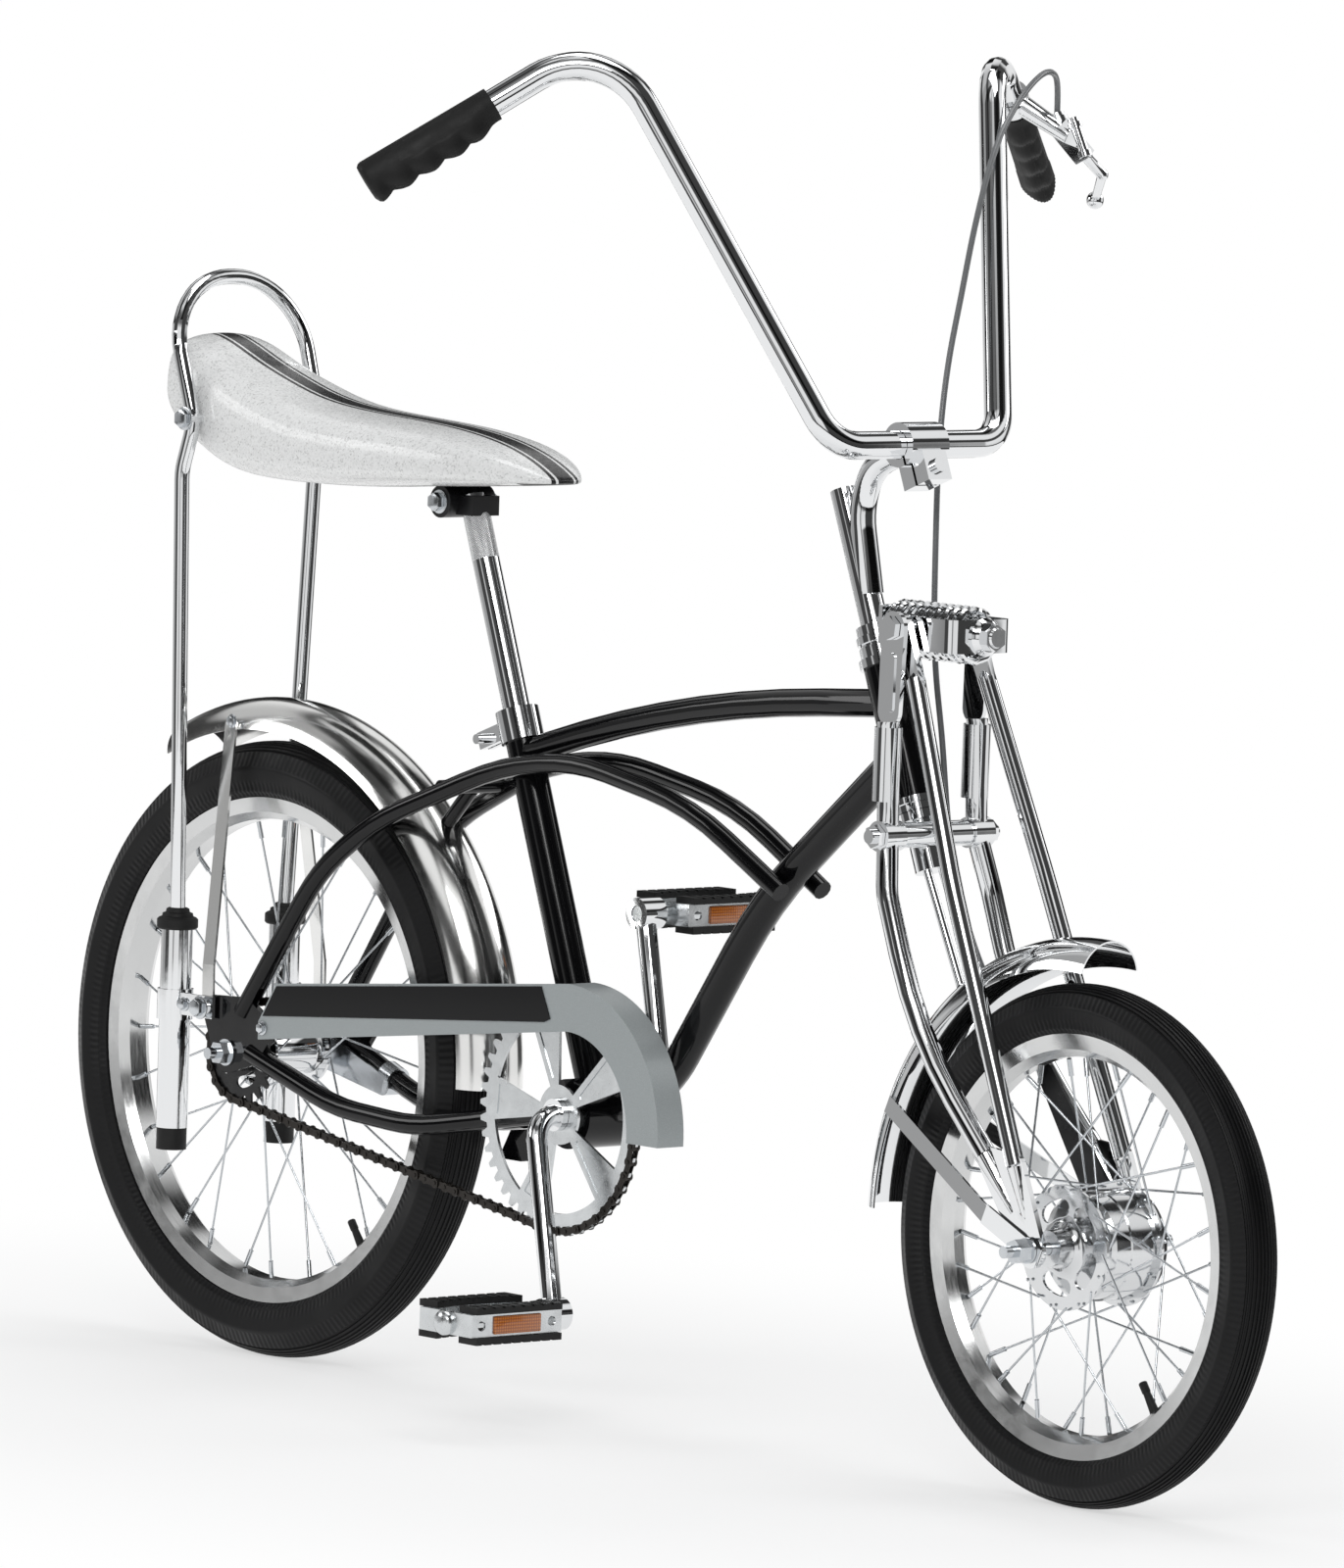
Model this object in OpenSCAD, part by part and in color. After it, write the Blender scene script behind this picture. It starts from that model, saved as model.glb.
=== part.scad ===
// Chopper bicycle: 20 inch rear wheel, 16 inch front wheel, springer fork, banana saddle.
// Lengths are in millimetres, +X is forward, +Y is to the rider's left, +Z is up.
// The origin is on top of the saddle, where the rider sits.

/* [Wheels] */
// Outside diameter of the rear tyre
rear_tyre_d = 508; // [490:1:520]
// Width of the rear tyre
rear_tyre_w = 54; // [44:1:58]
// Outside diameter of the front tyre
front_tyre_d = 402; // [390:1:410]
// Width of the front tyre
front_tyre_w = 44; // [36:1:50]
// Radial depth of both rims
rim_depth = 18; // [14:1:22]
// Spokes in the rear wheel
rear_spoke_count = 28; // [20:4:36]
// Spokes in the front wheel
front_spoke_count = 36; // [20:4:36]
// Diameter of a spoke
spoke_d = 1.8; // [1.6:0.1:2]
// Diameter of both axles
axle_d = 9.52; // [8:0.01:10]

/* [Frame] */
// Distance from the rear axle forward to the crank axle
crank_x = 404; // [396:1:412]
// Height of the crank axle above the ground
crank_z = 244; // [238:1:252]
// Lean of the seat tube from upright
seat_lean = 20.6; // [19:0.1:22]
// Length of the seat tube above the crank axle
seat_tube_l = 322; // [316:1:330]
// Diameter of the seat tube
seat_tube_d = 28.6; // [26:0.1:30]
// Distance from the rear axle to the point that fixes the steering axis
head_x = 760.6; // [752:0.1:770]
// Height of the point that fixes the steering axis
head_z = 540; // [530:1:550]
// Lean of the steering axis from upright
head_lean = 22; // [20:0.5:24]
// Length of the head tube
head_tube_l = 108; // [104:1:112]
// Diameter of the head tube
head_tube_d = 33; // [31:0.5:36]
// Diameter of the top tube
top_tube_d = 22.2; // [20:0.1:25]
// Diameter of the down tube
down_tube_d = 27; // [25:0.5:29]
// Diameter of the twin tubes
twin_tube_d = 16; // [14:0.5:17]
// Diameter of the chainstays
stay_tube_d = 17; // [15:0.5:18]
// Distance between the inner faces of the rear dropouts
dropout_gap = 105; // [103:1:110]
// Thickness of the dropouts
dropout_t = 5; // [4:0.5:6]

/* [Drive] */
// Distance of the chain from the middle of the bicycle
chain_line = 42; // [41:0.5:43]
// Pitch of the chain
chain_pitch = 12.7; // [12.6:0.1:12.8]
// Teeth on the chainring
ring_teeth = 46; // [40:1:48]
// Teeth on the rear cog
cog_teeth = 20; // [18:1:22]
// Length of a crank arm between its axles
crank_l = 160; // [150:1:168]
// Angle of the right crank arm below level
crank_drop = 71; // [0:1:180]
// Distance from the middle of the bicycle to the outer face of the chain guard
guard_y = 61; // [60:0.5:62]
// Radius of the hood of the chain guard
guard_r = 114; // [112:1:120]

/* [Fork] */
// Distance from the steering axis forward to the front axle
fork_offset = 75; // [68:1:80]
// Diameter of the fork legs
leg_d = 17.6; // [16:0.2:19]
// Diameter of the straight fork rods
rod_d = 15; // [13:0.5:16]
// Half the distance between the fork ends
fork_half = 56; // [55:0.5:58]
// Outside diameter of the fork spring
spring_d = 46; // [40:1:50]
// Diameter of the spring's wire
spring_wire = 6; // [5:0.5:6.5]
// Turns of the spring
spring_turns = 10; // [6:1:11]

/* [Cockpit] */
// Diameter of the handlebar tube
bar_d = 22.2; // [20:0.1:24]
// Height of the handlebar's middle above the fixing point, along the steering axis
bar_rise = 243; // [235:1:255]
// Distance of the handlebar's middle ahead of the steering axis
bar_reach = 91; // [86:1:98]
// Height of the handlebar's shoulders above its middle, along the steering axis
bar_height = 342; // [330:1:350]
// Half the width of the handlebar across its ends
bar_half_w = 349; // [340:1:356]
// Length of a grip
grip_l = 115; // [105:1:118]
// Diameter of a grip's sleeve at its inner end
grip_d = 26.6; // [26:0.1:30]
// Diameter of the stem post
stem_d = 22.2; // [20:0.1:24]

/* [Saddle and rear bar] */
// Height of the saddle's seat above the ground, where the rider sits
seat_z = 786; // [780:1:792]
// Diameter of the seat post
post_d = 22.2; // [20:0.1:24]
// Diameter of the rear bar tube
sissy_d = 12.7; // [11:0.1:14]
// Diameter of the damper bodies
damper_d = 26; // [22:1:28]
// Thickness of the sheet in fenders and guard
sheet_t = 1.4; // [1.2:0.1:2]

/* [Hidden] */
// Clearance between a moving piece and its bearing, and between seated pieces
fit = 0.3;
rear_r = rear_tyre_d / 2;
front_r = front_tyre_d / 2;
// Rims reach outwards to this radius, where the tyre sits
rear_rim_r = rear_r - 46;
front_rim_r = front_r - 38;
seat_x = 120;
// Distance from the fixing point down the steering axis to the level of the front axle
fork_drop = (head_z + fork_offset * sin(head_lean) - front_r) / cos(head_lean);
ring_r = chain_pitch / (2 * sin(180 / ring_teeth));
cog_r = chain_pitch / (2 * sin(180 / cog_teeth));
// Places in the side plane, as [x, y, z] from the ground below the rear axle
crank_at = [crank_x, 0, crank_z];
seat_dir = [-sin(seat_lean), 0, cos(seat_lean)];
seat_top = crank_at + seat_dir * seat_tube_l;
head_dir = [-sin(head_lean), 0, cos(head_lean)];
head_fwd = [cos(head_lean), 0, sin(head_lean)];
head_at = [head_x, 0, head_z];
head_low = -16;
head_high = head_low + head_tube_l;
dropout_y = (dropout_gap + dropout_t) / 2;

// Each tube's path is a list of corners, and the list after it gives the bend radius at each
top_path = [head_at + head_dir * 62, [487, 0, 580], seat_top - seat_dir * 24];
down_path = [head_at + head_dir * 22, [598, 0, 432], [480, 0, 266], crank_at];
twin_front = down_tube_d / 2 + twin_tube_d / 2 + fit;
twin_waist = seat_tube_d / 2 + twin_tube_d / 2 + fit;
twin_path = [[638, twin_front, 442], [530, twin_front + 2, 500], [390, twin_waist, 524],
    [300, twin_waist + 1, rear_r + 260], [165, 45, rear_r + 204], [105, 52, rear_r + 158],
    [16, dropout_y, rear_r + 34]];
twin_bends = [300, 280, 280, 260, 200];
// Height of the line between the rear axle and the crank axle
function axle_line(x) = rear_r + (crank_z - rear_r) * x / crank_x;
stay_path = [[28, dropout_y, axle_line(28) + 3], [130, 47, axle_line(130) - 29],
    [225, 42, axle_line(225) - 33], [300, 27, axle_line(300) - 18], [crank_x - 22, 26, crank_z - 2]];
stay_bends = [200, 200, 150];
// The point at a distance along the straight rear end of the left chainstay
function stay_at(d) = stay_path[0] + d * unit(stay_path[1] - stay_path[0]);
bridge_at = [236, 0, rear_r + 237];
// Dampers: their feet, the height of a foot, the length of a body, and where the bar's feet stand
damper_at = [-70, 57, rear_r - 86];
damper_foot = 17;
damper_l = 164;
sissy_foot = damper_at[2] + damper_foot + damper_l + 8;
sissy_path = [[-70, -57, sissy_foot + 2 * fit], [-65, -70, 728], [-56, -66, 768], [-95, -68, 885],
    [-95, 68, 885], [-56, 66, 768], [-65, 70, 728], [-70, 57, sissy_foot + 2 * fit]];
sissy_bends = [60, 40, 64, 64, 40, 60];

// Fork paths are measured from the steering axis: [ahead, left, up along the axis]
pivot = [10, 46, -47];
fork_axle = [fork_offset, 0, -fork_drop];
leg_path = [[40, 46, 36], [pivot[0], 46, pivot[2]], [3, 54, -92], [1, 54, 191 - fork_drop],
    [fork_offset - 26.5, fork_half, 82 - fork_drop]];
leg_bends = [90, 60, 300];
rod_path = [[70.5, 36.6, 60], [72, 49, -105], [fork_offset + 3, fork_half, 66 - fork_drop]];
fork_end_t = 4.5;
// The pins that join legs, rods and yoke
yoke_pin = [68.2, 0, 102.7];
rod_bends = [400];
bar_mid = [bar_reach, 0, bar_rise];
bar_corner = [bar_reach, 86, bar_rise];
bar_shoulder = [68, 200, bar_rise + bar_height];
bar_end = [-70, bar_half_w, bar_rise + bar_height - 69];

// Frames of reference
module bike() translate([-seat_x, 0, -seat_z]) children();
module steering() bike() translate(head_at) rotate([0, -head_lean, 0]) children();
module rear_wheel() bike() translate([0, 0, rear_r]) children();
module front_wheel() steering() translate(fork_axle) children();
module both_sides() { children(); mirror([0, 1, 0]) children(); }
// Turns a shape drawn about Z so that it stands about Y, with its drawn +Y as +Z
module about_y() rotate([90, 0, 0]) children();
// A cylinder along Y, between two distances from the middle
module pin_y(r, y0, y1) translate([0, max(y0, y1), 0]) about_y() cylinder(r = r, h = abs(y1 - y0));

// A direction as a vector of length one
function unit(v) = v / norm(v);
// The angle through which a path turns at corner i
function turn(p, i) = acos(unit(p[i] - p[i - 1]) * unit(p[i + 1] - p[i]));
// The arc that rounds corner i, as points no more than step degrees apart
function bend(p, i, r, step) =
    let (a = unit(p[i] - p[i - 1]), b = unit(p[i + 1] - p[i]), t = turn(p, i), n = unit(b - a * (a * b)),
        centre = p[i] - a * r * tan(t / 2) + n * r, count = ceil(t / step))
    [for (k = [0:count]) centre + r * (a * sin(t * k / count) - n * cos(t * k / count))];
// The whole route of a bent tube: its ends, with an arc at each corner between them
function route(p, bends, step) =
    let (last = len(p) - 1)
    concat([p[0]], [for (i = [1:last - 1]) each bend(p, i, bends[i - 1], step)], [p[last]]);
// A closed tube swept along a route, whose rings start from the direction that lies across ref
module sweep(points, r, ref, sides = 12) {
    last = len(points) - 1;
    dirs = [for (i = [0:last]) unit(points[min(i + 1, last)] - points[max(i - 1, 0)])];
    rings = [for (i = [0:last]) let (side = unit(cross(ref, dirs[i])), up = cross(dirs[i], side))
        for (j = [0:sides - 1]) points[i] + r * (side * cos(360 * j / sides) + up * sin(360 * j / sides))];
    walls = [for (i = [0:last - 1]) for (j = [0:sides - 1])
        let (k = (j + 1) % sides, a = i * sides, b = a + sides)
        each [[a + j, b + j, b + k], [a + j, b + k, a + k]]];
    ends = [[for (j = [0:sides - 1]) j], [for (j = [sides - 1:-1:0]) last * sides + j]];
    polyhedron(rings, concat(walls, ends));
}
module bent_tube(path, bends, d, ref, step = 7) sweep(route(path, bends, step), d / 2, ref);
// Stands a shape drawn up Z at a point, facing along a direction
module along(at, d) {
    side = unit(cross(abs(d[1]) < 0.9 ? [0, 1, 0] : [1, 0, 0], d));
    up = cross(d, side);
    multmatrix([[side[0], up[0], d[0], at[0]], [side[1], up[1], d[1], at[1]], [side[2], up[2], d[2], at[2]]])
        children();
}
module rod(a, b, d) along(a, unit(b - a)) cylinder(d = d, h = norm(b - a));
// A flat strip between two points, with its width across the bicycle's side plane
module strip(a, b, w, t) along(a, unit(b - a)) translate([-w / 2, -t / 2, 0]) cube([w, t, norm(b - a)]);
module plate(y, t) translate([0, y + t / 2, 0]) about_y() linear_extrude(t) children();

// Frame
module main_frame() color("#141414") bike() difference() {
    union() {
        bent_tube(top_path, [1500], top_tube_d, [0, 1, 0], 2);
        bent_tube(down_path, [420, 120], down_tube_d, [0, 1, 0], 4);
        rod(crank_at, seat_top, seat_tube_d);
        rod(head_at + head_dir * head_low, head_at + head_dir * head_high, head_tube_d);
        translate(crank_at) pin_y(28, -34, 34);
    }
    rod(head_at + head_dir * (head_low - 1), head_at + head_dir * (head_high + 1), 25.4 + 2 * fit);
    translate(crank_at) pin_y(10 + fit, -35, 35);
    rod(seat_top - seat_dir * 70, seat_top + seat_dir, post_d + fit);
}

module twin_tubes() color("#141414") bike() {
    difference() {
        union() {
            both_sides() bent_tube(twin_path, twin_bends, twin_tube_d, [0, 1, 0], 5);
            translate(bridge_at) pin_y(6, -36, 36);
        }
        both_sides() translate([-40, dropout_y - dropout_t / 2 - fit, rear_r - 18])
            cube([120, dropout_t + 2 * fit, 74]);
    }
    fender_tab();
}
// The tab that carries the rear fender below the bridge between the twin tubes
module fender_tab() difference() {
    rod(bridge_at - [3, 0, 3], bridge_at - [40, 0, 41], 12);
    translate([0, 0, rear_r]) pin_y(rear_r + 36 + fit, -20, 20);
    translate(bridge_at) pin_y(6 + fit, -20, 20);
}

module chainstays() color("#141414") bike() difference() {
    union() {
        both_sides() bent_tube(stay_path, stay_bends, stay_tube_d, [0, 1, 0], 5);
        both_sides() plate(dropout_y, dropout_t) dropout_outline();
        stand_sleeve();
    }
    translate(crank_at) pin_y(28 + fit, -40, 40);
    translate([0, 0, rear_r]) pin_y(axle_d / 2 + fit, -70, 70);
}
module dropout_outline() hull() {
    translate([0, rear_r]) circle(r = 17, $fn = 32);
    translate([-24, rear_r + 35]) circle(r = 10, $fn = 24);
    translate([22, rear_r + 38]) circle(r = 9, $fn = 24);
    translate([52, rear_r + 23]) circle(r = 7, $fn = 24);
    translate([34, rear_r + 1]) circle(r = 8, $fn = 24);
}
// Three-cornered sleeve under the left chainstay, with the end of its shaft inside
module stand_sleeve() {
    plate(36, 32) translate([272, 199]) difference() {
        sleeve_outline(17);
        sleeve_outline(13);
    }
    plate(36, 28) translate([272, 199]) sleeve_outline(13 - fit);
    plate(22, 2) translate([272, 199]) sleeve_outline(15);
}
module sleeve_outline(r) intersection_for(a = [90, 210, 330])
    rotate(a) translate([-r * 0.5, -2 * r]) square([r * 1.42, 4 * r]);

module headset_cups() color("#c8c8c8") steering() {
    difference() {
        union() {
            translate([0, 0, head_low - 5]) cylinder(d = 40, h = 5);
            translate([0, 0, head_low - 11]) cylinder(d = 36, h = 6);
            translate([0, 0, head_high]) cylinder(d = 38, h = 7);
        }
        translate([0, 0, head_low - 20]) cylinder(d = 25.4 + 2 * fit, h = head_tube_l + 60);
        translate([0, 0, head_low]) cylinder(d = 60, h = head_tube_l);
    }
}

module seat_collar() color("#c8c8c8") bike() difference() {
    union() {
        rod(seat_top - seat_dir * 14, seat_top + seat_dir * 12, seat_tube_d + 7);
        translate(seat_top) rotate([0, -seat_lean, 0]) translate([-46, -7, -8]) cube([32, 14, 14]);
        translate(seat_top) rotate([0, -seat_lean, 0]) translate([-38, 0, -1]) pin_y(4, -16, 16);
    }
    rod(seat_top - seat_dir * 15, seat_top + seat_dir * fit, seat_tube_d + 2 * fit);
    rod(seat_top, seat_top + seat_dir * 13, post_d + 2 * fit);
    translate(seat_top) rotate([0, -seat_lean, 0]) translate([-48, -1.5, -9]) cube([34, 3, 16]);
}

module seat_post() color("#c8c8c8") bike() {
    rod(seat_top - seat_dir * 68, clamp_at - seat_dir * 8, post_d);
    rod(clamp_at - seat_dir * 12, clamp_at + seat_dir * 8, post_d - 4);
}

// The clamp that carries the saddle on the post, with its cross barrel behind the post
clamp_r = 13;
saddle_low = 733;
clamp_at = seat_top + seat_dir * ((saddle_low - fit - clamp_r - 2 - seat_top[2]) / cos(seat_lean));
module saddle_clamp() color("#1c1c1c") bike() difference() {
    union() {
        translate(clamp_at + [-15, 0, 2]) pin_y(clamp_r, -24, 24);
        translate(clamp_at + [-24, -14, -8]) cube([38, 28, 16]);
    }
    rod(clamp_at - seat_dir * 30, clamp_at + seat_dir * 30, post_d - 4 + 2 * fit);
    rod(clamp_at - seat_dir * 30, clamp_at - seat_dir * (8 - fit), post_d + 2 * fit);
}

// Saddle sections from rear to nose: [x, half width, height of the top, height of the bottom]
saddle_sections = [[-112, 38, 831, 800], [-90, 56, 828, 772], [-40, 58, 812, 758],
    [10, 64, 799, 734], [seat_x, 68, seat_z, 727], [210, 62, 778, saddle_low],
    [290, 50, 760, 739], [346, 18, 748, 742]];
module saddle() color("#dcdcda") bike()
    for (i = [0:len(saddle_sections) - 2]) hull() {
        saddle_slice(saddle_sections[i]);
        saddle_slice(saddle_sections[i + 1]);
    }
// A section's lower edge is squarer than its crowned top
module saddle_slice(s) translate([s[0], 0, s[3]]) rotate([90, 0, 90]) linear_extrude(0.2)
    polygon(concat([for (a = [0:18:180]) [s[1] * cos(a), 0.25 * (s[2] - s[3]) * (1 + 3 * sin(a))]],
        [[-s[1], 4], [-s[1] + 8, 0], [s[1] - 8, 0], [s[1], 4]]));

module sissy_bar() color("#c8c8c8") bike() {
    bent_tube(sissy_path, sissy_bends, sissy_d, [1, 0, 0]);
    both_sides() translate([-56, 0, 771]) pin_y(4, 58.5, 76);
}

// Dampers at the foot of the rear bar, each clamped to a bracket on the dropout
dropout_out = dropout_y + dropout_t / 2;
stay_bolt = [-24, 0, rear_r + 35];
module damper_bodies() color("#c8c8c8") bike() both_sides() {
    translate(damper_at) {
        translate([0, 0, damper_foot]) cylinder(d = damper_d, h = damper_l);
        translate([0, 0, 107]) cylinder(d = damper_d + 4, h = 25);
        translate([10, dropout_out + 2 + 2 * fit - damper_at[1], 112]) cube([46, 3, 18]);
    }
    translate(stay_bolt) pin_y(6, dropout_out + fit, dropout_out + 10);
}
module damper_rubbers() color("#141414") bike() both_sides() translate(damper_at) {
    translate([0, 0, -1]) cylinder(d = damper_d - 1, h = damper_foot + 1 - fit);
    foot_r = sissy_d / 2 + 2 * fit;
    translate([0, 0, damper_foot + damper_l + fit]) rotate_extrude()
        polygon([[0, 0], [15.5, 0], [17, 1.5], [17, 8], [15.5, 9.5], [13, 10.5], [12.5, 13], [10, 14],
            [9.5, 16.5], [foot_r + 1, 17.5], [foot_r, 17.5], [foot_r, 8], [0, 8]]);
}

// A fender's cross section: an arch of sheet over the tyre, drawn with its radius along X
module fender_arch(crown_r, half_w, skirt_r) difference() {
    translate([crown_r - half_w, 0]) circle(r = half_w);
    translate([crown_r - half_w, 0]) circle(r = half_w - sheet_t);
    translate([skirt_r - 3 * half_w, -2 * half_w]) square([3 * half_w, 4 * half_w]);
}
// Each fender is one sheet, with the flat stays that hold it
module rear_fender() color("#d8d8d8") {
    rear_wheel() about_y() rotate(-1) rotate_extrude(angle = 118)
        fender_arch(rear_r + 36, 34, rear_r + 10);
    bike() both_sides() difference() {
        stay_y = dropout_out + fit + 1;
        union() {
            strip([-36, 33.4, rear_r + 268], [-25, stay_y, rear_r + 68], 14, 2);
            strip([-25, stay_y, rear_r + 70], stay_bolt + [0, stay_y, -8], 14, 2);
        }
        translate(stay_bolt) pin_y(6 + fit, 50, 70);
    }
}

// Chain guard: a plate beside the chain, with a flanged hood round the front of the chainring
guard_c = [crank_x + 28, crank_z - 6];
module guard_outline() {
    polygon([[44, rear_r + 15], [44, rear_r + 30], [66, rear_r + 63], guard_c + [0, guard_r],
        guard_c + [0, guard_r - 38]]);
    intersection() {
        difference() {
            translate(guard_c) circle(r = guard_r);
            translate(guard_c) circle(r = guard_r - 38);
        }
        translate(guard_c - [0, 5]) square([guard_r + 10, guard_r + 10]);
    }
}
module chain_guard() color("#9a9e9e") bike() {
    plate(-guard_y + sheet_t / 2, sheet_t) guard_outline();
    plate(-guard_y - 0.4, 1) guard_panel();
    plate(-guard_y + 14, 26) intersection() {
        difference() {
            translate(guard_c) circle(r = guard_r);
            translate(guard_c) circle(r = guard_r - sheet_t);
        }
        translate(guard_c - [0, 5]) square([guard_r + 10, guard_r + 10]);
    }
    translate([50, 0, rear_r + 25]) pin_y(4, -guard_y + 1, -dropout_out - fit);
    guard_bracket();
}
// The strap from inside the hood's flange to the side of the down tube
module guard_bracket() strip([guard_c[0] + guard_r - 5, 24 - guard_y, guard_c[1] + 8],
    [494, -down_tube_d / 2 - fit - 1, 286], 14, 2);
module guard_panel() polygon([[50, rear_r + 35], [67, rear_r + 61],
    guard_c + [-32, 109], guard_c + [-20, 84], guard_c + [-27, 81]]);

// Chain: two rows of side plates round the chainring and the cog, with rollers between the runs
chain_span = sqrt(pow(crank_x, 2) + pow(crank_z - rear_r, 2));
chain_tilt = atan2(crank_z - rear_r, crank_x);
chain_open = asin((ring_r - cog_r) / chain_span);
run_l = chain_span * cos(chain_open);
ring_arc = (180 + 2 * chain_open) * PI / 180 * ring_r;
cog_arc = (180 - 2 * chain_open) * PI / 180 * cog_r;
chain_l = 2 * run_l + ring_arc + cog_arc;
chain_links = round(chain_l / chain_pitch);
// The point at distance s along the loop, moved out by e, with the cog's centre at [0, 0]
function on_chain(s, e) = s < run_l
    ? let (a = 90 + chain_open) (cog_r + e) * [cos(a), sin(a)] + s * [sin(a), -cos(a)]
    : s < run_l + ring_arc
    ? let (a = 90 + chain_open - (s - run_l) / ring_r * 180 / PI)
        [chain_span, 0] + (ring_r + e) * [cos(a), sin(a)]
    : s < 2 * run_l + ring_arc
    ? let (a = -90 - chain_open, d = s - run_l - ring_arc)
        [chain_span, 0] + (ring_r + e) * [cos(a), sin(a)] + d * [sin(a), -cos(a)]
    : let (a = -90 - chain_open - (s - 2 * run_l - ring_arc) / cog_r * 180 / PI)
        (cog_r + e) * [cos(a), sin(a)];
module chain_plates() difference() {
    half = chain_l / chain_links / 2;
    polygon([for (i = [0:2 * chain_links - 1]) on_chain(i * half, i % 2 == 0 ? 4.2 : 3)]);
    polygon([for (i = [0:2 * chain_links - 1]) on_chain(i * half, i % 2 == 0 ? -4.2 : -3)]);
}
module chain() color("#202020") bike() translate([0, 0, rear_r]) rotate([0, -chain_tilt, 0]) {
    for (y = [-1, 1]) plate(-chain_line + y * 2.5, 1.4) chain_plates();
    for (i = [0:chain_links - 1]) {
        s = i * chain_l / chain_links;
        free_top = s > 2.2 * chain_pitch && s < run_l - 3.2 * chain_pitch;
        free_low = s > run_l + ring_arc + 3.2 * chain_pitch && s < 2 * run_l + ring_arc - 2.2 * chain_pitch;
        at = on_chain(s, 0);
        if (free_top || free_low) translate([at[0], -chain_line, at[1]])
            about_y() cylinder(r = 3.2, h = 4.4, center = true, $fn = 6);
    }
}

module rear_axle() color("#c8c8c8") rear_wheel() {
    pin_y(axle_d / 2, -78, 78);
    pin_y(8, -chain_line - 4 - fit, -dropout_gap / 2 + fit);
    pin_y(9, 42.5 + fit, dropout_gap / 2 - fit);
    pin_y(13, 37 + fit, 39.5 - fit);
    both_sides() {
        pin_y(11, dropout_out + fit, dropout_out + 2);
        translate([0, dropout_out + 11, 0]) about_y() cylinder(r = 9.5, h = 9.5, $fn = 6);
    }
}

// The coaster brake's arm, from the left end of the hub to its clamp on the left chainstay
module coaster_arm() color("#b8b8b8") bike() difference() {
    union() {
        plate(41, 3) hull() {
            translate([0, rear_r]) circle(r = 15, $fn = 32);
            translate([stay_at(59)[0], stay_at(59)[2] - 7]) circle(r = 8, $fn = 24);
        }
        rod(stay_at(52), stay_at(67), stay_tube_d + 5);
        translate([stay_at(59)[0], 0, stay_at(59)[2] - 11]) pin_y(4, 42, 58);
    }
    translate([0, 0, rear_r]) pin_y(axle_d / 2 + fit, 30, 50);
    rod(stay_at(12), stay_at(100), stay_tube_d + 2 * fit);
}

// A kidney-shaped window drawn about Z: its middle radius, width, angle and depth
module kidney(r, w, span, h) {
    rotate(-span / 2) rotate_extrude(angle = span) translate([r - w / 2, 0]) square([w, h]);
    for (a = [-span / 2, span / 2]) rotate(a) translate([r, 0, 0]) cylinder(r = w / 2 - 0.4, h = h);
}

// Wheels: the tyre is a round section that sits on the rim
module tyre(r, w, rim_r) color("#161616") about_y() rotate_extrude() difference() {
    translate([r - w / 2, 0]) circle(d = w);
    translate([0, -w]) square([rim_r + fit, 2 * w]);
}
module rim(rim_r, half_w) color("#d0d0d0") about_y() rotate_extrude()
    polygon([[rim_r, -half_w], [rim_r, half_w], [rim_r - 12, half_w - 1.5], [rim_r - rim_depth, half_w - 9],
        [rim_r - rim_depth, 9 - half_w], [rim_r - 12, 1.5 - half_w]]);
// Spokes alternate between the flanges, and between the outer and inner face of each flange
module spokes(count, hole_r, right_y, left_y, rim_r, swing) color("#c8c8c8")
    for (i = [0:count - 1]) {
        left = i % 2 == 0;
        outer = i % 4 < 2;
        flange_y = left ? left_y : right_y;
        away = left ? 1 : -1;
        rim_a = i * 360 / count;
        hub_a = rim_a + (outer ? swing : -swing);
        hub_at = [hole_r * cos(hub_a), flange_y + away * (outer ? 4.2 : -2.4), hole_r * sin(hub_a)];
        rim_at = [rim_r * cos(rim_a), away * 3, rim_r * sin(rim_a)];
        rod(hub_at, rim_at, spoke_d);
        rod(rim_at + unit(hub_at - rim_at) * 14, rim_at, 3.8);
    }

module rear_tyre() rear_wheel() tyre(rear_r, rear_tyre_w, rear_rim_r);
module rear_rim() rear_wheel() rim(rear_rim_r, rear_tyre_w / 2 - 9.5);
module rear_spokes() rear_wheel() spokes(rear_spoke_count, 25, -28, 28, rear_rim_r - rim_depth - 1, 38);
module rear_hub() color("#c8c8c8") rear_wheel() about_y() rotate_extrude() translate([axle_d / 2 + fit, 0])
    polygon([[0, -37], [9, -37], [9, -33], [24, -29.2], [24, -26.8], [16, -26.8], [14, -22], [14, 22],
        [16, 26.8], [24, 26.8], [24, 29.2], [17, 32], [15, 37], [0, 37]]);

// A toothed wheel: each tooth is four points between the root and tip radii
module teeth(count, r) polygon([for (i = [0:count - 1]) for (k = [[-0.34, -3.9], [-0.14, 3.4], [0.14, 3.4],
    [0.34, -3.9]]) let (a = 360 * (i + k[0]) / count) (r + k[1]) * [cos(a), sin(a)]]);

module rear_cog() color("#1c1c1c") rear_wheel() {
    difference() {
        union() {
            plate(-chain_line, 2.2) teeth(cog_teeth, cog_r);
            pin_y(16, -37 - fit, -chain_line - 4);
        }
        pin_y(axle_d / 2 + fit, -30, -60);
        for (a = [20:90:290]) translate([0, -chain_line + 5, 0]) about_y() rotate(a)
            kidney(25, 10, 38, 10);
    }
}

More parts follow.
